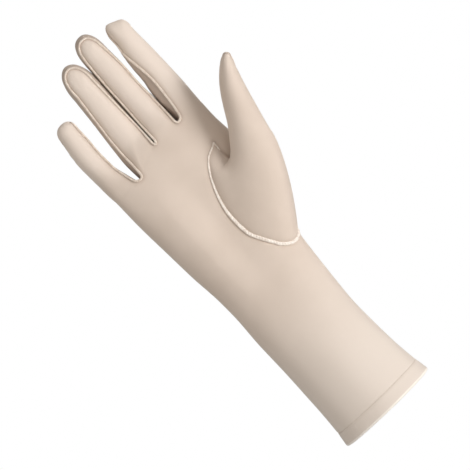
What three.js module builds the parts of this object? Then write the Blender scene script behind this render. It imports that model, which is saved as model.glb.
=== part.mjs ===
// A right-hand compression glove of forearm length, in fine knit, in the form it has when worn.
// Millimetres. X runs towards the thumb, -Y is the palm's side and Z runs from the cuff to the
// fingertips. The origin is the middle of the cuff's opening.
import * as THREE from "three";

// Cloth, seams and hem
const WALL = 1.2;
const SEAM_RADIUS = 0.8;
const SEAM_SIDES = 5;
const SEAM_LIFT = 0.35; // seam line above the cloth's outer face
const SEAM_ROOM = 1.4; // seam line to the cloth's cut edge
const HEM_HEIGHT = 10.5;
const HEM_WALL = 2.4;
const HEM_FLARE = 0.5;
const HEM_GAP = 0.4;

// Sleeve and hand below the fingers: the two side edges, and how far the radial one lies behind the
// ulnar one.
const EDGES = [
  { z: 0, ulnar: -36.2, radial: 36.2, behind: 0 },
  { z: 11, ulnar: -34.9, radial: 34.8, behind: 0 },
  { z: 30, ulnar: -33.6, radial: 33.0, behind: 0 },
  { z: 60, ulnar: -32.6, radial: 31.8, behind: 0 },
  { z: 85, ulnar: -32.0, radial: 33.6, behind: 0 },
  { z: 110, ulnar: -30.8, radial: 36.0, behind: 0 },
  { z: 125, ulnar: -31.0, radial: 38.0, behind: 0.5 },
  { z: 150, ulnar: -32.9, radial: 42.5, behind: 2.5 },
  { z: 175, ulnar: -34.0, radial: 47.0, behind: 5.0 },
  { z: 200, ulnar: -34.7, radial: 49.8, behind: 5.0 },
  { z: 215, ulnar: -34.6, radial: 50.4, behind: 3.0 },
  { z: 228, ulnar: -34.6, radial: 51.0, behind: 1.0 },
];

// How far the palm's side, at three places across it, and the back stand off the plane of those
// edges, and how square the section is (2 is an ellipse).
const DEPTHS = [
  { z: 0, ulnar: 29.5, middle: 31.0, radial: 29.5, back: 29.5, square: 2.2 },
  { z: 11, ulnar: 28.5, middle: 30.0, radial: 28.5, back: 28.5, square: 2.2 },
  { z: 30, ulnar: 27.0, middle: 28.5, radial: 27.0, back: 27.0, square: 2.2 },
  { z: 60, ulnar: 24.5, middle: 25.5, radial: 24.5, back: 24.5, square: 2.2 },
  { z: 85, ulnar: 22.0, middle: 22.0, radial: 22.0, back: 22.0, square: 2.2 },
  { z: 110, ulnar: 20.0, middle: 19.0, radial: 19.5, back: 19.5, square: 2.2 },
  { z: 125, ulnar: 20.0, middle: 17.5, radial: 19.0, back: 18.0, square: 2.2 },
  { z: 150, ulnar: 20.0, middle: 15.0, radial: 17.0, back: 16.0, square: 2.25 },
  { z: 175, ulnar: 18.5, middle: 13.0, radial: 15.0, back: 14.5, square: 2.4 },
  { z: 200, ulnar: 15.5, middle: 12.5, radial: 13.5, back: 13.2, square: 2.7 },
  { z: 215, ulnar: 13.0, middle: 12.5, radial: 12.8, back: 12.2, square: 3.0 },
  { z: 228, ulnar: 12.0, middle: 12.0, radial: 12.0, back: 11.5, square: 3.2 },
];
const SIDE_SHARE = 0.6; // share of the half width at which the ulnar and radial depths are reached
const BEHIND_POWER = 3; // how late, across the hand, the radial edge falls behind
const ULNAR_TURN = 0.3; // the side seam lies this far behind the ulnar edge, in radians
const WEB_DIP = 2.2; // hollow of the palm and back at the crotches
const CROTCH_SHARE = 0.5; // share of a segment that a crotch's hollow reaches
const WEB_DIP_ROWS = 3.5; // rows of the net over which that hollow fades out

// Fingers: outline from the palm's side, and how far the palm seams lie inside it. A seam inset
// below zero lies behind the outline. The last row is the start of the rounded tip. The tip's own
// values are its apex, how square it is, and the seam insets over the apex.
const FINGERS = {
  little: {
    apex: { x: -25.6, z: 279.0, square: 2.3, palmInset: 0.8, backInset: 1.6 },
    flex: 9,
    depths: [10.5, 6.8],
    rows: [
      { z: 218, left: -34.3, right: -14.6, seamLeft: -1.5, seamRight: 1.2 },
      { z: 227, left: -34.7, right: -17.8, seamLeft: -1.5, seamRight: 1.2 },
      { z: 237, left: -35.3, right: -20.0, seamLeft: -1.5, seamRight: 1.0 },
      { z: 250, left: -35.3, right: -20.1, seamLeft: -1.4, seamRight: 0.9 },
      { z: 260, left: -33.8, right: -19.2, seamLeft: -1.2, seamRight: 0.9 },
      { z: 270, left: -31.2, right: -19.0, seamLeft: -0.5, seamRight: 0.9 },
    ],
  },
  ring: {
    apex: { x: 2.3, z: 304.6, square: 2.15, palmInset: 2.4, backInset: 2.4 },
    flex: 7,
    depths: [11.6, 7.8],
    rows: [
      { z: 220, left: -13.0, right: 9.3, seamLeft: 2.2, seamRight: 1.0 },
      { z: 231, left: -13.1, right: 9.5, seamLeft: 2.8, seamRight: 1.0 },
      { z: 241, left: -12.2, right: 9.9, seamLeft: 2.8, seamRight: 1.1 },
      { z: 253, left: -10.8, right: 10.4, seamLeft: 2.5, seamRight: 1.3 },
      { z: 266, left: -9.3, right: 10.9, seamLeft: 2.3, seamRight: 1.5 },
      { z: 276, left: -8.4, right: 11.2, seamLeft: 2.3, seamRight: 1.8 },
      { z: 291, left: -7.1, right: 11.1, seamLeft: 2.6, seamRight: 2.4 },
    ],
  },
  middle: {
    apex: { x: 22.4, z: 312.0, square: 2.3, palmInset: 2.2, backInset: 2.4 },
    flex: 6,
    depths: [11.8, 7.8],
    rows: [
      { z: 228, left: 10.9, right: 30.1, seamLeft: 1.5, seamRight: 1.1 },
      { z: 241, left: 11.1, right: 30.0, seamLeft: 1.5, seamRight: 1.0 },
      { z: 251, left: 11.6, right: 29.7, seamLeft: 1.5, seamRight: 0.9 },
      { z: 261, left: 12.0, right: 29.5, seamLeft: 1.5, seamRight: 0.8 },
      { z: 271, left: 12.3, right: 30.0, seamLeft: 1.4, seamRight: 0.8 },
      { z: 281, left: 12.5, right: 30.6, seamLeft: 1.3, seamRight: 1.0 },
      { z: 296, left: 13.1, right: 30.6, seamLeft: 1.4, seamRight: 2.2 },
    ],
  },
  index: {
    apex: { x: 42.6, z: 304.8, square: 2.6, palmInset: 0.0, backInset: 0.0 },
    flex: 8,
    depths: [11.6, 8.0],
    rows: [
      { z: 228, left: 31.4, right: 51.1, seamLeft: 3.4, seamRight: 0.0 },
      { z: 241, left: 31.2, right: 51.8, seamLeft: 4.8, seamRight: 0.0 },
      { z: 252, left: 31.8, right: 52.1, seamLeft: 4.8, seamRight: 0.0 },
      { z: 264, left: 33.5, right: 52.2, seamLeft: 3.3, seamRight: 0.0 },
      { z: 277, left: 34.8, right: 52.1, seamLeft: 2.0, seamRight: 0.0 },
      { z: 291, left: 36.4, right: 51.9, seamLeft: 1.6, seamRight: 0.0 },
    ],
  },
};
const BACK_INSET = 2.4; // back seams inside the outline
const CROTCH_BLEND = 4.5; // height over which a strip's edge leaves the crotch
const MIDDLE_BLEND = 20; // height over which the middle of a strip becomes a finger

// Lines down the hand from the crotches: place of each at numbered rows of the net. The one beside
// the index finger carries the seam of the set-in thumb between the wrist and point rows.
const WRIST_ROW = 7;
const POINT_ROW = WRIST_ROW + 9;
const WEB_ROW = POINT_ROW + 3;
const PALM_LINES = {
  ringLittle: [
    { row: 0, x: -13.0, z: 0 },
    { row: WRIST_ROW, x: -15.5, z: 119.5 },
    { row: POINT_ROW, x: -15.5, z: 198.5 },
    { row: WEB_ROW, x: -12.4, z: 217.7 },
  ],
  middleRing: [
    { row: 0, x: 2.0, z: 0 },
    { row: WRIST_ROW, x: 1.5, z: 121.5 },
    { row: WRIST_ROW + 4, x: -1.5, z: 162.0 },
    { row: POINT_ROW, x: 9.5, z: 203.0 },
    { row: WEB_ROW, x: 10.1, z: 227.3 },
  ],
  indexMiddle: [
    { row: 0, x: 16.0, z: 0 },
    { row: WRIST_ROW, x: 23.2, z: 125.5 },
    { row: WRIST_ROW + 1, x: 17.4, z: 135.5 },
    { row: WRIST_ROW + 2, x: 13.9, z: 145.0 },
    { row: WRIST_ROW + 3, x: 12.8, z: 154.5 },
    { row: WRIST_ROW + 4, x: 13.5, z: 163.5 },
    { row: WRIST_ROW + 5, x: 15.6, z: 172.5 },
    { row: WRIST_ROW + 6, x: 18.3, z: 181.5 },
    { row: WRIST_ROW + 7, x: 22.0, z: 190.5 },
    { row: WRIST_ROW + 8, x: 28.0, z: 199.0 },
    { row: POINT_ROW, x: 37.0, z: 203.0 },
    { row: WEB_ROW, x: 31.0, z: 227.5 },
  ],
};
const BACK_LINES = {
  ringLittle: [
    { row: 0, x: -13.0, z: 0 },
    { row: WRIST_ROW, x: -15.5, z: 119.5 },
    { row: POINT_ROW, x: -15.5, z: 197.0 },
    { row: WEB_ROW, x: -12.4, z: 217.7 },
  ],
  middleRing: [
    { row: 0, x: 2.0, z: 0 },
    { row: WRIST_ROW, x: 2.0, z: 121.5 },
    { row: POINT_ROW, x: 9.5, z: 199.0 },
    { row: WEB_ROW, x: 10.1, z: 226.8 },
  ],
  indexMiddle: [
    { row: 0, x: 16.0, z: 0 },
    { row: WRIST_ROW, x: 27.0, z: 124.5 },
    { row: WRIST_ROW + 1, x: 24.4, z: 132.0 },
    { row: WRIST_ROW + 2, x: 23.0, z: 140.0 },
    { row: WRIST_ROW + 3, x: 22.6, z: 148.0 },
    { row: WRIST_ROW + 4, x: 23.2, z: 156.0 },
    { row: WRIST_ROW + 5, x: 24.8, z: 164.0 },
    { row: WRIST_ROW + 6, x: 27.3, z: 171.5 },
    { row: WRIST_ROW + 7, x: 30.4, z: 178.5 },
    { row: WRIST_ROW + 8, x: 34.0, z: 184.5 },
    { row: POINT_ROW, x: 38.0, z: 189.0 },
    { row: WEB_ROW, x: 31.0, z: 226.8 },
  ],
};
const ULNAR_LINE = [
  { row: 0, z: 0 },
  { row: WRIST_ROW, z: 119.0 },
  { row: POINT_ROW, z: 196.0 },
  { row: WEB_ROW, z: 216.0 },
];
const RADIAL_LINE = [
  { row: 0, z: 0 },
  { row: WRIST_ROW, z: 120.0 },
  { row: POINT_ROW, z: 190.0 },
  { row: WEB_ROW, z: 226.5 },
];
const WRIST_DROP = 0.6; // share of the index columns over which the wrist row reaches the radial line
const POINT_DROP = 0.4; // the same for the rows above the thumb's point

// Palm's side of the point row: the thumb's seam drops from its point to the web, then rises round
// the radial side.
const WEB_EDGE = [
  { share: 0, x: 37.0, z: 203.0 },
  { share: 1 / 6, x: 36.5, z: 192.5 },
  { share: 2 / 6, x: 37.2, z: 186.2 },
  { share: 3 / 6, x: 39.8, z: 185.2 },
  { share: 4 / 6, x: 43.2, z: 186.4 },
  { share: 5 / 6, x: 46.6, z: 188.2 },
];

// Thumb above its gusset: axis, half sizes across the palm's view and away from it, and how far the
// closing seam is turned behind the inner outline, in radians.
const THUMB = [
  { t: 0.0, x: 58.2, y: -18.0, z: 188.6, width: 14.3, depth: 11.5, turn: 1.0 },
  { t: 0.2, x: 62.2, y: -21.5, z: 198.5, width: 11.6, depth: 11.0, turn: 0.9 },
  { t: 0.42, x: 66.9, y: -25.5, z: 210.0, width: 9.8, depth: 10.4, turn: 0.75 },
  { t: 0.62, x: 71.3, y: -29.0, z: 219.6, width: 8.1, depth: 9.6, turn: 0.6 },
  { t: 0.8, x: 76.6, y: -32.6, z: 229.2, width: 5.7, depth: 8.2, turn: 0.5 },
  { t: 0.92, x: 79.9, y: -34.8, z: 234.2, width: 4.0, depth: 5.8, turn: 0.45 },
  { t: 1.0, x: 81.9, y: -36.0, z: 237.0, width: 2.4, depth: 1.4, turn: 0.4 },
];
const GUSSET_ROWS = 5;
const GUSSET_LEAVE = 24; // pull of the gusset off the hand
const GUSSET_ARRIVE = 48; // pull of the gusset into the thumb
const GUSSET_BULGE = 0.4; // lean of that pull on the radial side
const WEB_PULL = 0.3; // share of the pulls that is left at the web
const WEB_LEAN = -0.4; // lean of the gusset across its seam at the web, and where the pulls are full
const HAND_LEAN = -1;
const WEB_FRONT = 3; // knots of the thumb's seam over which the pulls grow on the palm's side
const WEB_BACK = 12; // the same on the back
const CLOSING_SHARES = [0.38, 0.58, 0.8]; // places of the closing seam's first stations up the gusset
const THUMB_LEVELS = [0.14, 0.3, 0.46, 0.62, 0.76, 0.88, 0.96, 1.0];
const THUMB_SPLIT = 0.8; // the tip seam opens the thumb's radial side above this share

// Net of the trank, from the side seam round the palm, the radial side and the back. Each segment
// goes on up its finger as a strip, and its crotches are at its first and last column.
const SEGMENTS = [
  { finger: "little", side: "palm", columns: 4, crotches: [false, true] },
  { finger: "ring", side: "palm", columns: 4, crotches: [true, true] },
  { finger: "middle", side: "palm", columns: 4, crotches: [true, true] },
  { finger: "index", side: "palm", columns: 6, crotches: [true, false] },
  { finger: "index", side: "back", columns: 6, crotches: [false, true] },
  { finger: "middle", side: "back", columns: 4, crotches: [true, true] },
  { finger: "ring", side: "back", columns: 4, crotches: [true, true] },
  { finger: "little", side: "back", columns: 4, crotches: [true, false] },
];
const RADIAL = 4; // line of the net at the radial fold
const CROTCHES = ["ringLittle", "middleRing", "indexMiddle"];
const FIRST_COLUMN = SEGMENTS.reduce((sums, segment) => [...sums, sums.at(-1) + segment.columns], [0]);
const LAST_COLUMN = FIRST_COLUMN.at(-1);
const HOLE = { from: FIRST_COLUMN[RADIAL - 1], middle: FIRST_COLUMN[RADIAL], to: FIRST_COLUMN[RADIAL + 1] };
const HOLE_COLUMNS = HOLE.middle - HOLE.from;
const HOLE_ROWS = POINT_ROW - WRIST_ROW;
const FINGER_LEVELS = [0.033, 0.1, 0.2, 0.33, 0.47, 0.61, 0.75, 0.88, 1.0]; // web to rounded tip
const DOME_ROWS = 4;
const DOME_CORNER = Math.PI / 3; // turn round the tip at which a strip's side becomes its end
const DOME_STEP = Math.PI / 10;
const WALL_COLUMNS = 3;
const INDEX_SEAM_START = 0.5 * DOME_STEP; // the palm seam starts at this turn round the index tip
const INDEX_WALL_END = 8.5 * DOME_STEP; // the side wall runs out at these turns round the tips
const LITTLE_WALL_END = 8 * DOME_STEP;
const WEB_GAP = 2.6; // the thumb's seam ends this far from the web's middle
const WEB_CUT = 1.8; // the gusset's edges start this far from it
const HEM_ROWS = 3;

// Turn round the thumb at knots of its seam, counted from the web down the palm and up the back.
const THUMB_TURNS = [
  { step: 0, angle: 0 },
  { step: HOLE_COLUMNS, angle: 0.3 * Math.PI },
  { step: HOLE_COLUMNS + HOLE_ROWS, angle: 0.92 * Math.PI },
  { step: 2 * HOLE_COLUMNS + HOLE_ROWS, angle: 1.18 * Math.PI },
  { step: 3 * HOLE_COLUMNS + HOLE_ROWS, angle: 1.46 * Math.PI },
  { step: 3 * HOLE_COLUMNS + 2 * HOLE_ROWS, angle: 1.83 * Math.PI },
  { step: 4 * HOLE_COLUMNS + 2 * HOLE_ROWS, angle: 2 * Math.PI },
];

// Small steps for directions and speeds along a form, and limits at sharp corners
const SLIDE_STEP = 0.05; // radians
const SLIDE_LIMIT = 1.1;
const NORMAL_TURN = 0.02; // radians
const NORMAL_RISE = 1; // millimetres
const AXIS_STEP = 0.02; // share of the thumb's length
const RING_STEP = 0.06;
const TIP_STEP = 0.1;
const CORNER_LIMIT = -0.3; // least cosine that widens the cloth's cut at a corner of the thumb's seam

// Colours
const KNIT = { color: 0xe3d3c2, roughness: 0.75, metalness: 0 };
const SEAM = { color: 0xf3e6d6, roughness: 0.8, metalness: 0 };

const lerp = THREE.MathUtils.lerp;
const smoothstep = THREE.MathUtils.smoothstep;
const clamp = THREE.MathUtils.clamp;

// A power of a number that keeps its sign.
const power = (value, exponent) => Math.sign(value) * Math.abs(value) ** exponent;

function hermite(a, b, leave, arrive, u) {
  const v = 1 - u;
  return a * (1 + 2 * u) * v * v + leave * u * v * v + b * u * u * (3 - 2 * u) - arrive * u * u * v;
}

// Value of a table's column at a place along its key: a smooth curve with no overshoot.
function valueAt(rows, key, column, place) {
  const last = rows.length - 1;
  if (place <= rows[0][key]) return rows[0][column];
  if (place >= rows[last][key]) return rows[last][column];
  const i = rows.findIndex((row) => row[key] > place) - 1;
  const slope = (k) => (rows[k + 1][column] - rows[k][column]) / (rows[k + 1][key] - rows[k][key]);
  const tangent = (k) => {
    if (k === 0) return slope(0);
    if (k === last) return slope(last - 1);
    const before = slope(k - 1);
    const after = slope(k);
    return before * after <= 0 ? 0 : (2 * before * after) / (before + after);
  };
  const span = rows[i + 1][key] - rows[i][key];
  const u = (place - rows[i][key]) / span;
  return hermite(rows[i][column], rows[i + 1][column], tangent(i) * span, tangent(i + 1) * span, u);
}

// Angle that is this many millimetres further along a section curve.
function slide(curve, angle, distance) {
  const speed = curve(angle - SLIDE_STEP).distanceTo(curve(angle + SLIDE_STEP)) / (2 * SLIDE_STEP);
  return angle + clamp(distance / speed, -SLIDE_LIMIT, SLIDE_LIMIT);
}

// Sleeve and hand: a section at each height. Angle 0 is the radial edge, and the palm's side has
// angles from 0 to pi.
function sleevePoint(angle, z) {
  const edge = (column) => valueAt(EDGES, "z", column, z);
  const depth = (column) => valueAt(DEPTHS, "z", column, z);
  const across = power(Math.cos(angle), 2 / depth("square"));
  const away = power(Math.sin(angle), 2 / depth("square"));
  const share = smoothstep(Math.abs(across), 0, SIDE_SHARE);
  const palm = lerp(depth("middle"), depth(across < 0 ? "ulnar" : "radial"), share);
  const behind = edge("behind") * ((across + 1) / 2) ** BEHIND_POWER;
  return new THREE.Vector3(
    lerp(edge("ulnar"), edge("radial"), (across + 1) / 2),
    behind - away * (away > 0 ? palm : depth("back")),
    z,
  );
}

// Angle on the sleeve of a place x, on the palm's side (1) or the back (-1).
function sleeveAngle(x, z, side) {
  const ulnar = valueAt(EDGES, "z", "ulnar", z);
  const radial = valueAt(EDGES, "z", "radial", z);
  const across = (2 * x - ulnar - radial) / (radial - ulnar);
  const square = valueAt(DEPTHS, "z", "square", z);
  return side * Math.acos(clamp(power(across, square / 2), -1, 1));
}

function sleeveNormal(angle, z) {
  const round = sleevePoint(angle + NORMAL_TURN, z).sub(sleevePoint(angle - NORMAL_TURN, z));
  const up = sleevePoint(angle, z + NORMAL_RISE).sub(sleevePoint(angle, z - NORMAL_RISE));
  return up.cross(round).normalize();
}

// The nine lines that bound the eight segments of the net, in order round the hand.
function boundary(line, row) {
  if (line === RADIAL) return { angle: 0, z: valueAt(RADIAL_LINE, "row", "z", row) };
  if (line === 0 || line === SEGMENTS.length) {
    const angle = (line === 0 ? Math.PI : -Math.PI) + ULNAR_TURN;
    return { angle, z: valueAt(ULNAR_LINE, "row", "z", row) };
  }
  const palm = line < RADIAL;
  const table = palm ? PALM_LINES[CROTCHES[line - 1]] : BACK_LINES[CROTCHES[SEGMENTS.length - 1 - line]];
  const z = valueAt(table, "row", "z", row);
  return { angle: sleeveAngle(valueAt(table, "row", "x", row), z, palm ? 1 : -1), z };
}

// The segment that holds a column of the net, and the column's share of the way across it.
function segmentAt(column) {
  const number = Math.min(FIRST_COLUMN.findLastIndex((first) => first <= column), SEGMENTS.length - 1);
  return { number, share: (column - FIRST_COLUMN[number]) / SEGMENTS[number].columns };
}

// Angle and height of a knot of the sleeve's net.
function sleeveSpot(column, row) {
  const { number, share } = segmentAt(column);
  const from = boundary(number, row);
  const to = boundary(number + 1, row);
  if (SEGMENTS[number].finger !== "index") {
    return { angle: lerp(from.angle, to.angle, share), z: lerp(from.z, to.z, share) };
  }
  const palm = number < RADIAL;
  if (palm && row === POINT_ROW && share < 1) {
    const z = valueAt(WEB_EDGE, "share", "z", share);
    return { angle: sleeveAngle(valueAt(WEB_EDGE, "share", "x", share), z, 1), z };
  }
  const seam = palm ? from : to;
  const fold = palm ? to : from;
  const f = palm ? share : 1 - share;
  const drop = Math.sin((Math.PI / 2) * Math.min(1, f / (row > WRIST_ROW ? POINT_DROP : WRIST_DROP)));
  return { angle: lerp(seam.angle, fold.angle, f), z: lerp(seam.z, fold.z, drop) };
}

// How near a share of a segment is to a crotch, from 0 to 1.
function crotchNearness(segment, share) {
  const near = (distance) => Math.cos((Math.PI / 2) * Math.min(1, distance / CROTCH_SHARE)) ** 2;
  return Math.max(segment.crotches[0] ? near(share) : 0, segment.crotches[1] ? near(1 - share) : 0);
}

// Seam of the set-in thumb: knots of the net round the hole, from the web down the palm and up the back.
function holeLoop() {
  const loop = [];
  for (let c = HOLE.middle; c > HOLE.from; c -= 1) loop.push([c, POINT_ROW]);
  for (let r = POINT_ROW; r > WRIST_ROW; r -= 1) loop.push([HOLE.from, r]);
  for (let c = HOLE.from; c < HOLE.to; c += 1) loop.push([c, WRIST_ROW]);
  for (let r = WRIST_ROW; r < POINT_ROW; r += 1) loop.push([HOLE.to, r]);
  for (let c = HOLE.to; c > HOLE.middle; c -= 1) loop.push([c, POINT_ROW]);
  const knots = loop.map(([column, row]) => {
    const { angle, z } = sleeveSpot(column, row);
    return { key: `${column}/${row}`, point: sleevePoint(angle, z), normal: sleeveNormal(angle, z) };
  });
  const sideways = (a, b) => b.point.clone().sub(a.point).cross(a.normal).normalize();
  knots.forEach((knot, i) => {
    const before = sideways(knots.at(i - 1), knot);
    const after = sideways(knot, knots[(i + 1) % knots.length]);
    knot.off = before.clone().add(after).divideScalar(1 + clamp(before.dot(after), CORNER_LIMIT, 1));
  });
  return knots;
}

const HOLE_LOOP = holeLoop();
const HOLE_KNOTS = new Map(HOLE_LOOP.map((knot) => [knot.key, knot]));

// A knot on the trank's outer face below the fingers, clear of the seams.
function sleeveKnot(column, row) {
  const hole = HOLE_KNOTS.get(`${column}/${row}`);
  if (hole) return hole.point.clone().addScaledVector(hole.off, SEAM_ROOM);
  const { angle, z } = sleeveSpot(column, row);
  const { number, share } = segmentAt(column);
  const height = z + (row === 0 ? HEM_HEIGHT : 0) - (row === WEB_ROW ? SEAM_ROOM : 0);
  const curve = (a) => sleevePoint(a, height);
  if (column === 0) return curve(slide(curve, angle, -SEAM_ROOM));
  if (column === LAST_COLUMN) return curve(slide(curve, angle, SEAM_ROOM));
  const fading = smoothstep(row, WEB_ROW - WEB_DIP_ROWS, WEB_ROW);
  const dip = WEB_DIP * fading * crotchNearness(SEGMENTS[number], share);
  const point = curve(angle);
  point.y += angle > 0 ? dip : -dip;
  return point;
}

// Crotch between two fingers: the seam's lowest place on the palm's side or the back.
function crotch(line, side) {
  const palm = side === "palm";
  const { angle, z } = boundary(palm ? line : SEGMENTS.length - line, WEB_ROW);
  const point = sleevePoint(angle, z);
  point.y += palm ? WEB_DIP : -WEB_DIP;
  return point;
}

// Fingers: an oval section at each height, angles as on the sleeve.
function fingerSize(finger, z) {
  const left = valueAt(finger.rows, "z", "left", z);
  const right = valueAt(finger.rows, "z", "right", z);
  const foot = finger.rows[0].z;
  const share = clamp((z - foot) / (finger.apex.z - foot), 0, 1);
  return {
    middle: (left + right) / 2,
    half: (right - left) / 2,
    depth: lerp(finger.depths[0], finger.depths[1], share),
    y: -finger.flex * share * share,
  };
}

function fingerPoint(finger, angle, z) {
  const { middle, half, depth, y } = fingerSize(finger, z);
  return new THREE.Vector3(middle + half * Math.cos(angle), y - depth * Math.sin(angle), z);
}

function fingerAxis(finger, z) {
  const { middle, y } = fingerSize(finger, z);
  return new THREE.Vector3(middle, y, z);
}

// Rounded tip: the turn runs from its right foot (0) over the apex to its left foot (pi), and the
// tilt runs from the outline (0) to the palm's side.
function tipPoint(finger, turn, tilt) {
  const foot = tipFoot(finger);
  const { middle, half, depth } = fingerSize(finger, foot);
  const exponent = 2 / finger.apex.square;
  const rise = power(Math.sin(turn), exponent) * Math.cos(tilt);
  const across = power(Math.cos(turn), exponent) * Math.cos(tilt);
  const z = foot + rise * (finger.apex.z - foot);
  const x = middle + across * half + rise * (finger.apex.x - middle);
  return new THREE.Vector3(x, fingerSize(finger, z).y - depth * Math.sin(tilt), z);
}

const tipFoot = (finger) => finger.rows.at(-1).z;

// Puts a place inside a tip's outline on the tip's face, on the palm's side (1) or the back (-1).
function ontoTip(finger, point, side) {
  const foot = tipFoot(finger);
  const { middle, half, depth } = fingerSize(finger, foot);
  const rise = (point.z - foot) / (finger.apex.z - foot);
  const across = (point.x - middle - rise * (finger.apex.x - middle)) / half;
  const { square } = finger.apex;
  const out = (Math.abs(rise) ** square + Math.abs(across) ** square) ** (1 / square);
  point.y = fingerSize(finger, point.z).y - side * depth * Math.sqrt(Math.max(0, 1 - out * out));
  return point;
}

// Seam insets at a height of a finger's side: where the palm seam is on the outline or behind it,
// there is no side wall and the back seam is the same line.
function insets(finger, side, z) {
  const palm = valueAt(finger.rows, "z", side === "left" ? "seamLeft" : "seamRight", z);
  return { palm, back: palm <= 0 ? -palm : BACK_INSET };
}

const tiltOf = (inset, reach) => Math.sign(inset) * Math.acos(clamp(1 - Math.abs(inset) / reach, -1, 1));

// A station on a finger's outline: its curve from the back to the palm's side, and the tilts of
// the two seams on it.
function sideStation(finger, side, z) {
  const { half } = fingerSize(finger, z);
  const inset = insets(finger, side, z);
  return {
    curve: (tilt) => fingerPoint(finger, side === "right" ? tilt : Math.PI - tilt, z),
    core: fingerAxis(finger, z),
    palm: tiltOf(inset.palm, half),
    back: -tiltOf(inset.back, half),
  };
}

function tipStation(finger, turn) {
  const foot = tipFoot(finger);
  const core = fingerAxis(finger, foot);
  const reach = tipPoint(finger, turn, 0).setY(core.y).distanceTo(core);
  const inset = insets(finger, turn < Math.PI / 2 ? "right" : "left", foot);
  return {
    curve: (tilt) => tipPoint(finger, turn, tilt),
    core,
    palm: tiltOf(lerp(inset.palm, finger.apex.palmInset, Math.sin(turn)), reach),
    back: -tiltOf(lerp(inset.back, finger.apex.backInset, Math.sin(turn)), reach),
  };
}

// The place beside a station's seam where the cloth of a strip is cut.
function cutTilt(station, side) {
  return side === "palm"
    ? slide(station.curve, station.palm, SEAM_ROOM)
    : slide(station.curve, station.back, -SEAM_ROOM);
}

// Moves a place at the web up its finger, then gives it the finger's own section.
function risen(finger, base, target, height) {
  const drift = fingerAxis(finger, target.z).sub(fingerAxis(finger, base.z));
  const grown = smoothstep(target.z - base.z, 0, height);
  return base.clone().add(drift).lerp(target, grown);
}

// A knot of a strip below the rounded tip, at a level up the finger.
function stripKnot(number, column, level) {
  const segment = SEGMENTS[number];
  const finger = FINGERS[segment.finger];
  const palm = segment.side === "palm";
  const base = sleeveKnot(FIRST_COLUMN[number] + column, WEB_ROW);
  const z = lerp(base.z, tipFoot(finger), level);
  const left = cutTilt(sideStation(finger, "left", z), segment.side);
  const right = segment.finger === "index" ? 0 : cutTilt(sideStation(finger, "right", z), segment.side);
  const share = column / segment.columns;
  const leftAngle = (palm ? Math.PI : -Math.PI) - left;
  const angle = palm ? lerp(leftAngle, right, share) : lerp(right, leftAngle, share);
  const blend = lerp(MIDDLE_BLEND, CROTCH_BLEND, crotchNearness(segment, share));
  return risen(finger, base, fingerPoint(finger, angle, z), blend);
}

// A knot of a strip's rounded end: its two sides follow the tip to the corners and its last row
// runs over the apex.
function tipKnot(number, column, row) {
  const segment = SEGMENTS[number];
  const finger = FINGERS[segment.finger];
  const palm = segment.side === "palm";
  const edge = (turn) => {
    const station = tipStation(finger, turn);
    return station.curve(cutTilt(station, segment.side));
  };
  const share = column / segment.columns;
  const across = palm ? share : 1 - share;
  const up = row / DOME_ROWS;
  const footAt = (s) => stripKnot(number, palm ? s * segment.columns : (1 - s) * segment.columns, 1);
  const leftAt = (v) => (v === 0 ? footAt(0) : edge(Math.PI - v * DOME_CORNER));
  const rightAt = (v) => (v === 0 ? footAt(1) : edge(v * DOME_CORNER));
  const endAt = (s) => edge(lerp(Math.PI - DOME_CORNER, DOME_CORNER, s));
  if (across === 0) return leftAt(up);
  if (across === 1) return rightAt(up);
  if (row === DOME_ROWS) return endAt(across);
  const point = new THREE.Vector3();
  point.addScaledVector(footAt(across), 1 - up).addScaledVector(endAt(across), up);
  point.addScaledVector(leftAt(up), 1 - across).addScaledVector(rightAt(up), across);
  point.addScaledVector(footAt(0), -(1 - across) * (1 - up)).addScaledVector(footAt(1), -across * (1 - up));
  point.addScaledVector(endAt(0), -(1 - across) * up).addScaledVector(endAt(1), -across * up);
  return ontoTip(finger, point, palm ? 1 : -1);
}

// A piece of cloth: a net of quads on its outer face, given its thickness towards the hand.
class Cloth {
  constructor() {
    this.points = [];
    this.quads = [];
    this.names = new Map();
  }

  knot(name, place) {
    if (!this.names.has(name)) {
      this.names.set(name, this.points.length);
      this.points.push(place());
    }
    return this.names.get(name);
  }

  // Fills a grid of knots with quads, all facing out, except where a cell is left open.
  weave(columns, rows, knot, open = () => false) {
    for (let c = 0; c < columns; c += 1) {
      for (let r = 0; r < rows; r += 1) {
        if (!open(c, r)) this.quads.push([knot(c, r), knot(c + 1, r), knot(c + 1, r + 1), knot(c, r + 1)]);
      }
    }
  }

  normals() {
    const normals = this.points.map(() => new THREE.Vector3());
    for (const [a, b, c, d] of this.quads) {
      const first = this.points[c].clone().sub(this.points[a]);
      const second = this.points[d].clone().sub(this.points[b]);
      const normal = first.cross(second);
      for (const corner of [a, b, c, d]) normals[corner].add(normal);
    }
    return normals.map((normal) => normal.normalize());
  }

  // Closed body: outer face, inner face and the cut edges between them.
  solid(wall) {
    const count = this.points.length;
    const inner = this.normals().map((normal, i) => this.points[i].clone().addScaledVector(normal, -wall));
    const triangles = [];
    const borders = new Map();
    for (const [a, b, c, d] of this.quads) {
      triangles.push(a, b, c, a, c, d);
      triangles.push(a + count, c + count, b + count, a + count, d + count, c + count);
      for (const [from, to] of [[a, b], [b, c], [c, d], [d, a]]) {
        if (!borders.delete(`${to}>${from}`)) borders.set(`${from}>${to}`, [from, to]);
      }
    }
    for (const [from, to] of borders.values()) {
      triangles.push(to, from, from + count, to, from + count, to + count);
    }
    const geometry = new THREE.BufferGeometry().setFromPoints([...this.points, ...inner]);
    geometry.setIndex(triangles);
    return geometry;
  }
}

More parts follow.
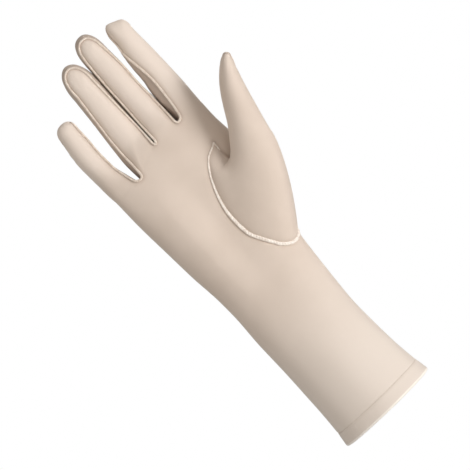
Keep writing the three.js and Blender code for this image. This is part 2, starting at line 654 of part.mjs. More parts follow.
// Trank: sleeve, hand and the strips of the fingers, open at the thumb and the side seam.
function trank() {
  const cloth = new Cloth();
  const sleeve = (c, r) => cloth.knot(`${c}/${r}`, () => sleeveKnot(c, r));
  const overThumb = (c, r) => c >= HOLE.from && c < HOLE.to && r >= WRIST_ROW && r < POINT_ROW;
  cloth.weave(LAST_COLUMN, WEB_ROW, sleeve, overThumb);
  const levels = FINGER_LEVELS.length;
  SEGMENTS.forEach((segment, number) => {
    const fold = segment.finger !== "index" ? -1 : segment.side === "palm" ? segment.columns : 0;
    cloth.weave(segment.columns, levels + DOME_ROWS, (c, r) => {
      if (r === 0) return sleeve(FIRST_COLUMN[number] + c, WEB_ROW);
      if (r > levels) return cloth.knot(`${number}:${c}/${r}`, () => tipKnot(number, c, r - levels));
      const name = c === fold ? `fold/${r}` : `${number}:${c}/${r}`;
      return cloth.knot(name, () => stripKnot(number, c, FINGER_LEVELS[r - 1]));
    });
  });
  return cloth.solid(WALL);
}

// Turns round a tip, from just after one turn to just before another.
function turnsBetween(from, to) {
  const turns = [];
  for (let turn = from + DOME_STEP; turn < to - DOME_STEP / 2; turn += DOME_STEP) turns.push(turn);
  return turns;
}

// Stations of the fingers' side wall on one side ("palm" or "back"), from the index tip between the
// fingers to the little fingertip: each gives a place on its curve by a tilt.
function wallStations(side, startTurn, endTurn) {
  const { little, ring, middle, index } = FINGERS;
  const stations = [];
  const onTip = (finger, turn) => {
    const station = tipStation(finger, turn);
    stations.push({ ...station, place: station.curve });
  };
  const onSide = (finger, edge, base, level) => {
    const station = sideStation(finger, edge, lerp(base.z, tipFoot(finger), level));
    stations.push({ ...station, place: (tilt) => risen(finger, base, station.curve(tilt), CROTCH_BLEND) });
  };
  const down = [...FINGER_LEVELS].reverse();
  for (const turn of [startTurn, ...turnsBetween(startTurn, Math.PI)]) onTip(index, turn);
  [[index, middle, 3], [middle, ring, 2], [ring, little, 1]].forEach(([right, left, line]) => {
    const base = side === "both" ? crotch(line, "palm").lerp(crotch(line, "back"), 0.5) : crotch(line, side);
    for (const level of down) onSide(right, "left", base, level);
    stations.push({ line, core: base, palm: 1, back: -1, place: () => base.clone() });
    for (const level of FINGER_LEVELS) onSide(left, "right", base, level);
    for (const turn of turnsBetween(0, left === little ? endTurn : Math.PI)) onTip(left, turn);
  });
  onTip(little, endTurn);
  return stations;
}

// Side wall of the fingers: one strip through the crotches and over the tips.
function fourchette() {
  const cloth = new Cloth();
  const stations = wallStations("both", INDEX_WALL_END, LITTLE_WALL_END);
  const place = (column, step) => {
    const station = stations[step];
    const share = column / WALL_COLUMNS;
    if (station.line) {
      const palm = crotch(station.line, "palm").add(new THREE.Vector3(0, SEAM_ROOM, 0));
      const back = crotch(station.line, "back").add(new THREE.Vector3(0, -SEAM_ROOM, 0));
      return palm.lerp(back, share);
    }
    const palm = slide(station.curve, station.palm, -SEAM_ROOM);
    const back = slide(station.curve, station.back, SEAM_ROOM);
    return station.place(lerp(palm, back, share));
  };
  cloth.weave(WALL_COLUMNS, stations.length - 1, (c, r) => cloth.knot(`${c}/${r}`, () => place(c, r)));
  return cloth.solid(WALL);
}

// Thumb: rings square to its axis, with angle 0 at the closing seam, on the side of the fingers.
function thumbAxis(t) {
  const value = (column) => valueAt(THUMB, "t", column, t);
  return new THREE.Vector3(value("x"), value("y"), value("z"));
}

function thumbPoint(angle, t) {
  const value = (column) => valueAt(THUMB, "t", column, t);
  const above = thumbAxis(Math.min(1, t + AXIS_STEP));
  const along = above.sub(thumbAxis(Math.max(0, t - AXIS_STEP))).normalize();
  const right = new THREE.Vector3(along.z, 0, -along.x).normalize();
  const front = right.clone().cross(along);
  const turned = angle - value("turn");
  return thumbAxis(t)
    .addScaledVector(right, -Math.cos(turned) * value("width"))
    .addScaledVector(front, Math.sin(turned) * value("depth"));
}

// Angle on the thumb's rings that belongs to each knot of the hole's loop.
const thumbAngle = (step) => valueAt(THUMB_TURNS, "step", "angle", step);

const TIP_SEAM = thumbAngle(HOLE_LOOP.length / 2); // angle of the tip seam, on the radial side

// The angle of a loop knot on one ring of the front half (-1) or the back half (1): the cloth is cut
// back from the closing seam and, near the tip, from the tip seam.
function ringAngle(step, t, half) {
  const curve = (a) => thumbPoint(a, t);
  const tipCut = t > THUMB_SPLIT ? slide(curve, TIP_SEAM, half * SEAM_ROOM) : TIP_SEAM;
  const closing = half < 0 ? 0 : 2 * Math.PI;
  const closingCut = slide(curve, closing, -half * SEAM_ROOM);
  return THREE.MathUtils.mapLinear(thumbAngle(step), closing, TIP_SEAM, closingCut, tipCut);
}

// A place on the gusset, between the seam in the hand (0) and the first ring of the thumb (1).
function gussetPoint(step, share) {
  const count = HOLE_LOOP.length;
  const knot = HOLE_LOOP[step % count];
  const start = knot.point.clone().addScaledVector(knot.off, -SEAM_ROOM);
  if (step === 0 || step === count) {
    const next = HOLE_LOOP[step === 0 ? 1 : count - 1].point.clone().sub(knot.point);
    start.addScaledVector(next.normalize(), WEB_CUT);
  }
  const angle = ringAngle(step, 0, step < count / 2 ? -1 : 1);
  const end = thumbPoint(angle, 0);
  const grown = smoothstep(step, 0, WEB_FRONT) * smoothstep(count - step, 0, WEB_BACK);
  const leave = knot.normal.clone().addScaledVector(knot.off, lerp(WEB_LEAN, HAND_LEAN, grown)).normalize();
  const arrive = thumbPoint(angle, RING_STEP).sub(end).normalize();
  const radial = (1 - Math.cos(angle - THUMB[0].turn)) / 2;
  arrive.x -= GUSSET_BULGE * radial;
  const pull = lerp(WEB_PULL, 1, grown);
  leave.multiplyScalar(GUSSET_LEAVE * pull);
  arrive.multiplyScalar(GUSSET_ARRIVE * pull);
  const mix = (axis) => hermite(start[axis], end[axis], leave[axis], arrive[axis], share);
  return new THREE.Vector3(mix("x"), mix("y"), mix("z"));
}

function thumb() {
  const cloth = new Cloth();
  const count = HOLE_LOOP.length;
  const middle = count / 2;
  // The tip seam opens the side away from the closing seam, so the two halves part there.
  for (const half of [-1, 1]) {
    const first = half < 0 ? 0 : middle;
    cloth.weave(middle, GUSSET_ROWS + THUMB_LEVELS.length, (c, row) => {
      const step = first + c;
      if (row <= GUSSET_ROWS) return cloth.knot(`${step}/${row}`, () => gussetPoint(step, row / GUSSET_ROWS));
      const t = THUMB_LEVELS[row - GUSSET_ROWS - 1];
      const parted = t > THUMB_SPLIT && step === middle;
      const name = parted ? `${step}/${row}/${half}` : `${step}/${row}`;
      return cloth.knot(name, () => thumbPoint(ringAngle(step, t, half), t));
    });
  }
  return cloth.solid(WALL);
}

// Cuff hem: the sleeve's end turned up inside itself, twice the cloth's thickness.
function cuffHem() {
  const cloth = new Cloth();
  const place = (column, row) => {
    const c = column % LAST_COLUMN;
    return cloth.knot(`${c}/${row}`, () => {
      const share = row / HEM_ROWS;
      const { angle } = sleeveSpot(c, 0);
      const z = share * (HEM_HEIGHT - HEM_GAP);
      return sleevePoint(angle, z).addScaledVector(sleeveNormal(angle, z), HEM_FLARE * (1 - share * share));
    });
  };
  cloth.weave(LAST_COLUMN, HEM_ROWS, place);
  return cloth.solid(HEM_WALL);
}

// Seams: a roll swept through stations, one ring of the roll at each.
class Stations extends THREE.Curve {
  constructor(points) {
    super();
    this.points = points;
  }

  getPoint(u) {
    const place = clamp(u, 0, 1) * (this.points.length - 1);
    const i = Math.min(Math.floor(place), this.points.length - 2);
    return this.points[i].clone().lerp(this.points[i + 1], place - i);
  }

  getPointAt(u) {
    return this.getPoint(u);
  }

  getTangentAt(u) {
    const i = Math.round(clamp(u, 0, 1) * (this.points.length - 1));
    const before = this.points[Math.max(i - 1, 0)];
    const after = this.points[Math.min(i + 1, this.points.length - 1)];
    return after.clone().sub(before).normalize();
  }
}

function roll(points) {
  const ring = new THREE.Shape();
  for (let i = 0; i < SEAM_SIDES; i += 1) {
    const angle = (2 * Math.PI * i) / SEAM_SIDES;
    const corner = [SEAM_RADIUS * Math.cos(angle), SEAM_RADIUS * Math.sin(angle)];
    if (i === 0) ring.moveTo(...corner);
    else ring.lineTo(...corner);
  }
  const extrudePath = new Stations(points);
  return new THREE.ExtrudeGeometry(ring, { steps: points.length - 1, extrudePath, bevelEnabled: false });
}

// Seam line through the wall's stations, lifted off the cloth.
function seamLine(stations, side) {
  return stations.map((station) => {
    const point = station.place(station[side]);
    if (station.line) return point.add(new THREE.Vector3(0, side === "palm" ? -SEAM_LIFT : SEAM_LIFT, 0));
    return point.addScaledVector(point.clone().sub(station.core).normalize(), SEAM_LIFT);
  });
}

// Palm seam: round every finger from the index tip, then down the little finger's side to the hem.
function palmSeam() {
  const points = seamLine(wallStations("palm", INDEX_SEAM_START, Math.PI - DOME_STEP), "palm");
  const { little } = FINGERS;
  const foot = boundary(0, WEB_ROW);
  const base = sleevePoint(foot.angle, foot.z);
  const side = [...FINGER_LEVELS].reverse().map((level) => {
    const station = sideStation(little, "left", lerp(base.z, tipFoot(little), level));
    return { ...station, place: (tilt) => risen(little, base, station.curve(tilt), MIDDLE_BLEND) };
  });
  points.push(...seamLine(side, "palm"));
  for (let row = WEB_ROW; row >= 0; row -= 1) {
    const { angle, z } = boundary(0, row);
    const height = row === 0 ? HEM_HEIGHT : z;
    points.push(sleevePoint(angle, height).addScaledVector(sleeveNormal(angle, height), SEAM_LIFT));
  }
  return roll(points);
}

// Back seam: the other edge of the side wall.
function backSeam() {
  return roll(seamLine(wallStations("back", INDEX_WALL_END, LITTLE_WALL_END), "back"));
}

// Seam of the set-in thumb, open at the web where the closing seam starts.
function thumbSeam() {
  const lifted = HOLE_LOOP.map((knot) => knot.point.clone().addScaledVector(knot.normal, SEAM_LIFT));
  const [first, second] = lifted;
  const start = first.clone().add(second.clone().sub(first).setLength(WEB_GAP));
  const end = first.clone().add(lifted.at(-1).clone().sub(first).setLength(WEB_GAP));
  return roll([start, ...lifted.slice(1), end]);
}

// Closing seam of the thumb, from the web up its inner side and over its tip.
function thumbClosingSeam() {
  const points = CLOSING_SHARES.map((share) =>
    gussetPoint(0, share).lerp(gussetPoint(HOLE_LOOP.length, share), 0.5),
  );
  const lifted = (angle, t) => {
    const point = thumbPoint(angle, t);
    return point.addScaledVector(point.clone().sub(thumbAxis(t)).normalize(), SEAM_LIFT);
  };
  const ahead = thumbAxis(1).sub(thumbAxis(1 - TIP_STEP)).setLength(SEAM_RADIUS);
  for (const t of [0, ...THUMB_LEVELS.slice(0, -1)]) points.push(lifted(0, t));
  for (const angle of [0, TIP_SEAM]) points.push(thumbPoint(angle, 1).add(ahead));
  for (const t of THUMB_LEVELS.filter((level) => level > THUMB_SPLIT && level < 1).reverse()) {
    points.push(lifted(TIP_SEAM, t));
  }
  return roll(points);
}

const glove = new THREE.Group();

function add(name, geometry, finish) {
  const mesh = new THREE.Mesh(geometry, new THREE.MeshStandardMaterial(finish));
  mesh.name = name;
  glove.add(mesh);
}

add("trank", trank(), KNIT);
add("fourchette", fourchette(), KNIT);
add("thumb", thumb(), KNIT);
add("cuff_hem", cuffHem(), KNIT);
add("palm_seam", palmSeam(), SEAM);
add("back_seam", backSeam(), SEAM);
add("thumb_seam", thumbSeam(), SEAM);
add("thumb_closing_seam", thumbClosingSeam(), SEAM);

export default glove;
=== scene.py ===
"""Visual model of a forearm-length compression glove for the right hand, in fine stretch knit.

The cloth follows the measures of the part's solids. X runs towards the thumb, -Y is the palm's side
and Z runs from the cuff to the fingertips. Measures are millimetres until a mesh is made. Finishes,
flat sizes and the studio are in metres, apart from the knit's pitches on its unrolled cloth.
"""

import logging
import math
from bisect import bisect_right
from contextlib import contextmanager
from dataclasses import dataclass
from enum import Enum
from functools import cache
from itertools import accumulate
from typing import Callable, Hashable, Iterator, NamedTuple, Optional, Sequence, TypeVar, Union

import bpy
from mathutils import Matrix, Vector, noise
from mathutils.kdtree import KDTree

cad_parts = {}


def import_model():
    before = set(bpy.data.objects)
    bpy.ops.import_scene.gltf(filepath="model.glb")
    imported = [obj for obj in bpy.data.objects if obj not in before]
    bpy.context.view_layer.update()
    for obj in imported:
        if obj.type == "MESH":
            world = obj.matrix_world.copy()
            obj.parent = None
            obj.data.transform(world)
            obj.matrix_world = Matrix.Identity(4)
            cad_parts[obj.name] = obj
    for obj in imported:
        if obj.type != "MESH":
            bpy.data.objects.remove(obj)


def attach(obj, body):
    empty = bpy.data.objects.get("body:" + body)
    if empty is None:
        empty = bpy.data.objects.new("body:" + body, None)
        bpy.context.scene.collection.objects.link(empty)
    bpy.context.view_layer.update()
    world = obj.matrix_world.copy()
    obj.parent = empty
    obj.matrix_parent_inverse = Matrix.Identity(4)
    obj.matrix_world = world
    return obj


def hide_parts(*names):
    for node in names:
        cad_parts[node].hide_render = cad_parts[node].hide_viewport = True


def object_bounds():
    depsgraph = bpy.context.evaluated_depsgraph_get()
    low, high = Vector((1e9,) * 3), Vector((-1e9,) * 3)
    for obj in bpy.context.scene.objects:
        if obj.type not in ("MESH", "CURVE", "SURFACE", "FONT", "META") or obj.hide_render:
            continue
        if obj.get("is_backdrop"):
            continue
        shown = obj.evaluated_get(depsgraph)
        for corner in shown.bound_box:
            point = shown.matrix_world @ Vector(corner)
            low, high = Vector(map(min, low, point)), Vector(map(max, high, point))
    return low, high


LOG = logging.getLogger("glove")
MM = 0.001
BODY = "root"
UV_NAME = "unrolled"
# attribute that masks the painted shade in the trough beside the seams
DITCH_SHADE_NAME = "seam_ditch_shade"
FINE = 4  # cells of the dressed cloth to one cell of the net, each way
SHORTEST = 1e-6  # least length that a step along a seam is taken to have

Blend = TypeVar("Blend", float, Vector)
Place = Callable[[int, int], Vector]
Colour = tuple[float, float, float, float]
Value = Union[float, Colour, bpy.types.NodeSocket]


class Side(Enum):
    """Face of the glove, with the sign of its angles on a section."""

    PALM = 1
    BACK = -1


class Edge(Enum):
    """Edge of a finger, as seen from the palm's side."""

    LEFT = "left"
    RIGHT = "right"


class Digit(Enum):
    """Finger of the glove."""

    LITTLE = "little"
    RING = "ring"
    MIDDLE = "middle"
    INDEX = "index"


class Slot(Enum):
    """Material slot of the record."""

    KNIT = "knit"
    SEAM = "seam"


def lerp(first: Blend, last: Blend, share: float) -> Blend:
    """Value on the way between two numbers or points."""
    return first + (last - first) * share


def clamp(value: float, low: float, high: float) -> float:
    """The value, held between two limits."""
    return max(low, min(high, value))


def smoothstep(value: float, low: float, high: float) -> float:
    """Smooth rise from 0 at the low limit to 1 at the high one."""
    share = clamp((value - low) / (high - low), 0.0, 1.0)
    return share * share * (3 - 2 * share)


def signed_power(value: float, exponent: float) -> float:
    """A power of a number that keeps its sign."""
    return math.copysign(abs(value) ** exponent, value)


def bell(distance: float, reach: float) -> float:
    """Smooth hump of height 1 that fades over a reach."""
    return math.exp(-((distance / reach) ** 2))


def hermite(first: Blend, last: Blend, leave: Blend, arrive: Blend, share: float) -> Blend:
    """Cubic between two numbers or points.

    Args:
        first: value at the start.
        last: value at the end.
        leave: slope at the start.
        arrive: slope at the end.
        share: share of the way.

    Returns:
        The value there.
    """
    rest = 1 - share
    start = first * ((1 + 2 * share) * rest * rest) + leave * (share * rest * rest)
    return start + last * (share * share * (3 - 2 * share)) - arrive * (share * share * rest)


class Profile:
    """A table of measures that change smoothly along its first column, with no overshoot."""

    def __init__(self, columns: str, *rows: tuple[float, ...]) -> None:
        """Keeps each column with its slopes.

        Args:
            columns: names of the columns, the key first.
            rows: the values of each row.
        """
        self.keys = [row[0] for row in rows]
        self.curves: dict[str, tuple[list[float], list[float]]] = {}
        for number, name in enumerate(columns.split()):
            values = [row[number] for row in rows]
            self.curves[name] = (values, self.slopes(values))

    def slopes(self, values: Sequence[float]) -> list[float]:
        """Slope of a column at each row.

        Args:
            values: the column's values.

        Returns:
            The slopes, flat where the column turns.
        """
        steps = [
            (last - first) / (high - low)
            for first, last, low, high in zip(values, values[1:], self.keys, self.keys[1:])
        ]
        slopes = [steps[0]]
        for before, after in zip(steps, steps[1:]):
            same_way = before * after > 0
            slopes.append(2 * before * after / (before + after) if same_way else 0.0)
        slopes.append(steps[-1])
        return slopes

    def at(self, column: str, place: float) -> float:
        """Value of a column.

        Args:
            column: name of the column.
            place: where on the key.

        Returns:
            The value there, or the first or last one beyond the table's ends.
        """
        values, slopes = self.curves[column]
        if place <= self.keys[0]:
            return values[0]
        if place >= self.keys[-1]:
            return values[-1]
        i = bisect_right(self.keys, place) - 1
        span = self.keys[i + 1] - self.keys[i]
        share = (place - self.keys[i]) / span
        return hermite(values[i], values[i + 1], slopes[i] * span, slopes[i + 1] * span, share)


@dataclass(frozen=True)
class Sleeve:
    """Sleeve and hand below the fingers: a squared oval at each height.

    Angle 0 is the radial edge, and the palm's side has the angles from 0 to pi.
    """

    side_share: float = 0.6
    behind_power: int = 3
    edges: Profile = Profile(
        "z ulnar radial behind",
        (0, -36.2, 36.2, 0),
        (11, -34.9, 34.8, 0),
        (30, -33.6, 33.0, 0),
        (60, -32.6, 31.8, 0),
        (85, -32.0, 33.6, 0),
        (110, -30.8, 36.0, 0),
        (125, -31.0, 38.0, 0.5),
        (150, -32.9, 42.5, 2.5),
        (175, -34.0, 47.6, 5.0),
        (200, -34.7, 51.5, 5.0),
        (215, -34.6, 50.7, 3.0),
        (228, -34.6, 51.0, 1.0),
    )
    depths: Profile = Profile(
        "z ulnar middle radial back square",
        (0, 29.5, 31.0, 29.5, 29.5, 2.2),
        (11, 28.5, 30.0, 28.5, 28.5, 2.2),
        (30, 27.0, 28.5, 27.0, 27.0, 2.2),
        (60, 24.5, 25.5, 24.5, 24.5, 2.2),
        (85, 22.0, 22.0, 22.0, 22.0, 2.2),
        (110, 20.0, 19.0, 19.5, 19.5, 2.2),
        (125, 20.0, 17.5, 19.0, 18.0, 2.2),
        (150, 20.0, 15.0, 17.0, 16.0, 2.25),
        (175, 18.5, 13.0, 15.0, 14.5, 2.4),
        (200, 15.5, 12.5, 13.5, 13.2, 2.7),
        (215, 13.0, 12.5, 12.8, 12.2, 3.0),
        (228, 12.0, 12.0, 12.0, 11.5, 3.2),
    )
    turn_step: float = 0.02
    height_step: float = 1.0

    def point(self, angle: float, z: float) -> Vector:
        """Place on the outer face.

        Args:
            angle: angle on the section.
            z: height.

        Returns:
            The place.
        """
        exponent = 2 / self.depths.at("square", z)
        across = signed_power(math.cos(angle), exponent)
        away = signed_power(math.sin(angle), exponent)
        wide = (across + 1) / 2
        ulnar = self.edges.at("ulnar", z)
        x = lerp(ulnar, self.edges.at("radial", z), wide)
        behind = self.edges.at("behind", z) * wide**self.behind_power
        if away <= 0:
            return Vector((x, behind - away * self.depths.at("back", z), z))
        share = smoothstep(abs(across), 0, self.side_share)
        side = self.depths.at("ulnar" if across < 0 else "radial", z)
        return Vector((x, behind - away * lerp(self.depths.at("middle", z), side, share), z))

    def angle(self, x: float, z: float, side: Side) -> float:
        """Angle of a place on one face.

        Args:
            x: place across the glove.
            z: height.
            side: the face.

        Returns:
            The angle.
        """
        ulnar = self.edges.at("ulnar", z)
        radial = self.edges.at("radial", z)
        across = (2 * x - ulnar - radial) / (radial - ulnar)
        cosine = signed_power(across, self.depths.at("square", z) / 2)
        return side.value * math.acos(clamp(cosine, -1, 1))

    def normal(self, angle: float, z: float) -> Vector:
        """Direction out of the outer face.

        Args:
            angle: angle on the section.
            z: height.

        Returns:
            The direction, of length 1.
        """
        around = self.point(angle + self.turn_step, z) - self.point(angle - self.turn_step, z)
        up = self.point(angle, z + self.height_step) - self.point(angle, z - self.height_step)
        return up.cross(around).normalized()


class Oval(NamedTuple):
    """Section of a finger: its middle, half width, half depth and place in front of the hand."""

    middle: float
    half: float
    depth: float
    y: float


@dataclass(frozen=True)
class Station:
    """A place on a finger's outline, with its curve from the back round to the palm's side."""

    curve: Callable[[float], Vector]
    core: Vector
    palm: float
    back: float

    def tilt(self, share: float) -> float:
        """Tilt on the curve, from the palm seam (0) to the back seam (1)."""
        return lerp(self.palm, self.back, share)


def tilt_of(inset: float, reach: float) -> float:
    """Tilt at which a round section has come in by an inset."""
    return math.copysign(math.acos(clamp(1 - abs(inset) / reach, -1, 1)), inset)


@dataclass(frozen=True)
class Finger:
    """One finger: its outline from the palm's side, its depth and the insets of its seams.

    An inset below zero lies behind the outline, and the two seams are then one line.
    """

    apex_x: float
    apex_z: float
    square: float
    palm_inset: float
    back_inset: float
    flex: float
    depths: tuple[float, float]
    rows: Profile
    side_inset: float = 2.4
    tip_blend: float = 1.0
    tip_seam: float = 1.0
    seam_foot: float = 0.0
    fine_turn: float = 0.3 * math.pi
    slant: float = 0.0
    slant_passes: int = 6
    wall_end: Optional[float] = None
    wall_full: float = 0.0

    @property
    def tip_foot(self) -> float:
        """Height at which the rounded tip starts."""
        return self.rows.keys[-1]

    def size(self, z: float) -> Oval:
        """Section at a height.

        Args:
            z: height.

        Returns:
            The section.
        """
        left = self.rows.at("left", z)
        right = self.rows.at("right", z)
        foot = self.rows.keys[0]
        share = clamp((z - foot) / (self.apex_z - foot), 0, 1)
        depth = lerp(*self.depths, share)
        return Oval((left + right) / 2, (right - left) / 2, depth, -self.flex * share**2)

    def point(self, angle: float, z: float) -> Vector:
        """Place on the outer face, with angles as on the sleeve.

        Args:
            angle: angle on the section.
            z: height.

        Returns:
            The place.
        """
        size = self.size(z)
        x = size.middle + size.half * math.cos(angle)
        return Vector((x, size.y - size.depth * math.sin(angle), z))

    def axis(self, z: float) -> Vector:
        """Middle of the section."""
        size = self.size(z)
        return Vector((size.middle, size.y, z))

    def tip(self, turn: float, tilt: float) -> Vector:
        """Place on the rounded tip.

        Args:
            turn: from its right foot (0) over the apex to its left foot (pi).
            tilt: from the outline (0) towards the palm's side.

        Returns:
            The place.
        """
        size = self.size(self.tip_foot)
        exponent = 2 / self.square
        rise = signed_power(math.sin(turn), exponent) * math.cos(tilt)
        across = signed_power(math.cos(turn), exponent) * math.cos(tilt)
        z = self.tip_foot + rise * self.tip_height(across)
        x = size.middle + across * size.half + rise * (self.apex_x - size.middle)
        return Vector((x, self.size(z).y - size.depth * math.sin(tilt), z))

    def tip_height(self, across: float) -> float:
        """Height of the rounded tip, which is less on its right side where it slants."""
        return self.apex_z - self.tip_foot - self.slant * (across + 1) / 2

    def onto_tip(self, point: Vector, side: Side) -> Vector:
        """Puts a place inside the tip's outline on the tip's face.

        Args:
            point: the place.
            side: the face.

        Returns:
            The place on the face.
        """
        size = self.size(self.tip_foot)
        across = 0.0
        for _ in range(self.slant_passes):
            rise = (point.z - self.tip_foot) / self.tip_height(across)
            across = (point.x - size.middle - rise * (self.apex_x - size.middle)) / size.half
        out = (abs(rise) ** self.square + abs(across) ** self.square) ** (1 / self.square)
        height = size.depth * math.sqrt(max(0.0, 1 - out * out))
        return Vector((point.x, self.size(point.z).y - side.value * height, point.z))

    def insets(self, edge: Edge, z: float) -> tuple[float, float]:
        """Insets of the palm seam and of the back seam at a height of one edge."""
        palm = self.rows.at(f"seam_{edge.value}", z)
        return palm, -palm if palm <= 0 else self.side_inset

    def side_station(self, edge: Edge, z: float) -> Station:
        """Station at a height of one edge.

        Args:
            edge: the edge.
            z: height.

        Returns:
            The station.
        """
        half = self.size(z).half
        palm, back = self.insets(edge, z)

        def curve(tilt: float) -> Vector:
            """Place on the section at a tilt from the edge."""
            return self.point(tilt if edge is Edge.RIGHT else math.pi - tilt, z)

        return Station(curve, self.axis(z), tilt_of(palm, half), -tilt_of(back, half))

    def tip_station(self, turn: float) -> Station:
        """Station at a turn round the tip.

        Args:
            turn: from the right foot of the tip (0) to its left foot (pi).

        Returns:
            The station.
        """
        core = self.axis(self.tip_foot)
        out = self.tip(turn, 0) - core
        out.y = 0
        palm, back = self.insets(Edge.RIGHT if turn < math.pi / 2 else Edge.LEFT, self.tip_foot)
        over = max(0.0, math.sin(turn)) ** self.tip_blend
        palm_tilt = tilt_of(lerp(palm, self.palm_inset, over), out.length)
        back_tilt = -tilt_of(lerp(back, self.back_inset, over), out.length)
        back_tilt = lerp(palm_tilt, back_tilt, self.wall_share(turn))
        return Station(lambda tilt: self.tip(turn, tilt), core, palm_tilt, back_tilt)

    def wall_share(self, turn: float) -> float:
        """How much of its full width the side wall has at a turn round the tip.

        Args:
            turn: from the right foot of the tip (0) to its left foot (pi).

        Returns:
            The share.
        """
        if self.wall_end is None:
            return 1.0
        return smoothstep((turn - self.wall_end) / (self.wall_full - self.wall_end), 0, 1)

    def seam_size(self, turn: float) -> float:
        """Size of the seams at a turn round the tip, which are finer away from the side wall's foot."""
        return lerp(self.tip_seam, 1.0, smoothstep(abs(turn - self.seam_foot), self.fine_turn, 0))


DOME_STEP = math.pi / 10  # turn round a tip
INDEX_SEAM_START = 0.5 * DOME_STEP
INDEX_WALL_END = 8.5 * DOME_STEP
LITTLE_WALL_END = 8 * DOME_STEP
LITTLE_SEAM_END = 9 * DOME_STEP
OUTLINE = "z left right seam_left seam_right"
FINGERS = {
    Digit.LITTLE: Finger(
        apex_x=-25.2,
        apex_z=279.2,
        square=2.5,
        palm_inset=-0.3,
        back_inset=0.3,
        tip_seam=0.5,
        flex=9,
        depths=(10.5, 6.8),
        wall_end=LITTLE_WALL_END,
        wall_full=math.pi / 2,
        rows=Profile(
            OUTLINE,
            (218, -34.3, -14.6, -1.5, 1.2),
            (227, -34.9, -17.0, -1.5, 1.2),
            (237, -35.7, -19.3, -1.5, 0.8),
            (250, -36.0, -19.8, -1.3, 0.5),
            (260, -35.0, -19.1, -0.8, 0.4),
            (270, -33.0, -18.9, 0.0, 0.4),
        ),
    ),
    Digit.RING: Finger(
        apex_x=2.6,
        apex_z=304.2,
        square=2.15,
        palm_inset=3.0,
        back_inset=2.4,
        flex=7,
        depths=(11.6, 7.8),
        rows=Profile(
            OUTLINE,
            (220, -13.0, 9.3, 3.0, 1.0),
            (231, -13.4, 10.5, 3.6, 1.3),
            (241, -12.6, 10.9, 3.0, 1.4),
            (253, -11.3, 11.3, 2.6, 1.7),
            (266, -9.8, 11.75, 2.6, 2.1),
            (276, -8.85, 12.2, 2.8, 2.5),
            (284, -8.1, 12.6, 3.0, 2.8),
        ),
    ),
    Digit.MIDDLE: Finger(
        apex_x=22.4,
        apex_z=312.0,
        square=2.3,
        palm_inset=3.4,
        back_inset=2.4,
        flex=6,
        depths=(11.8, 7.8),
        rows=Profile(
            OUTLINE,
            (228, 10.2, 30.6, 1.5, 1.4),
            (241, 10.5, 30.8, 1.5, 1.3),
            (251, 10.9, 30.9, 1.6, 1.2),
            (261, 11.35, 30.5, 1.6, 1.0),
            (271, 11.75, 30.8, 1.5, 0.9),
            (281, 12.1, 31.3, 1.6, 1.0),
            (296, 12.75, 31.0, 2.0, 1.6),
        ),
    ),
    Digit.INDEX: Finger(
        apex_x=45.6,
        apex_z=307.6,
        square=4.2,
        slant=6.5,
        palm_inset=-0.8,
        back_inset=0.8,
        tip_blend=0.5,
        tip_seam=0.45,
        seam_foot=math.pi,
        flex=8,
        depths=(11.6, 8.0),
        wall_end=INDEX_WALL_END,
        wall_full=math.pi,
        rows=Profile(
            OUTLINE,
            (228, 30.4, 51.1, 3.8, 0.0),
            (241, 30.5, 51.8, 5.8, 0.0),
            (252, 31.1, 52.1, 6.4, 0.0),
            (264, 33.0, 52.2, 4.7, 0.0),
            (272, 33.4, 52.2, 3.5, 0.0),
            (284, 34.8, 52.0, 1.2, 0.0),
            (291, 36.5, 51.9, 0.5, 0.0),
        ),
    ),
}


@dataclass(frozen=True)
class Segment:
    """A part of the hand's net that goes on up one finger as a strip."""

    digit: Digit
    side: Side
    columns: int
    first_crotch: bool
    last_crotch: bool

    def nearness(self, share: float, reach: float) -> float:
        """How near a place across is to a crotch.

        Args:
            share: share of the way across.
            reach: share over which a crotch is felt.

        Returns:
            1 at a crotch, falling to 0 at the end of its reach.
        """
        near = 0.0
        for there, distance in ((self.first_crotch, share), (self.last_crotch, 1 - share)):
            if there:
                near = max(near, math.cos(math.pi / 2 * min(1.0, distance / reach)) ** 2)
        return near


SEGMENTS = (
    Segment(Digit.LITTLE, Side.PALM, 4, False, True),
    Segment(Digit.RING, Side.PALM, 4, True, True),
    Segment(Digit.MIDDLE, Side.PALM, 4, True, True),
    Segment(Digit.INDEX, Side.PALM, 6, True, False),
    Segment(Digit.INDEX, Side.BACK, 6, False, True),
    Segment(Digit.MIDDLE, Side.BACK, 4, True, True),
    Segment(Digit.RING, Side.BACK, 4, True, True),
    Segment(Digit.LITTLE, Side.BACK, 4, True, False),
)
RADIAL = 4  # guide line at the radial fold
FIRST_COLUMNS = [sum(s.columns for s in SEGMENTS[:i]) for i in range(len(SEGMENTS) + 1)]
LAST_COLUMN = FIRST_COLUMNS[-1]
WRIST_ROW = 7
POINT_ROW = WRIST_ROW + 9
WEB_ROW = POINT_ROW + 3
HOLE_FROM = FIRST_COLUMNS[RADIAL - 1]
HOLE_MIDDLE = FIRST_COLUMNS[RADIAL]
HOLE_TO = FIRST_COLUMNS[RADIAL + 1]
HOLE_HALF = HOLE_MIDDLE - HOLE_FROM
HOLE_ROWS = POINT_ROW - WRIST_ROW
LOOP_STEPS = 4 * HOLE_HALF + 2 * HOLE_ROWS  # cells round the thumb's hole


class Face(NamedTuple):
    """Columns of one face of the net, and the one that its unrolled cloth is measured from."""

    from_column: int
    middle: int
    to_column: int


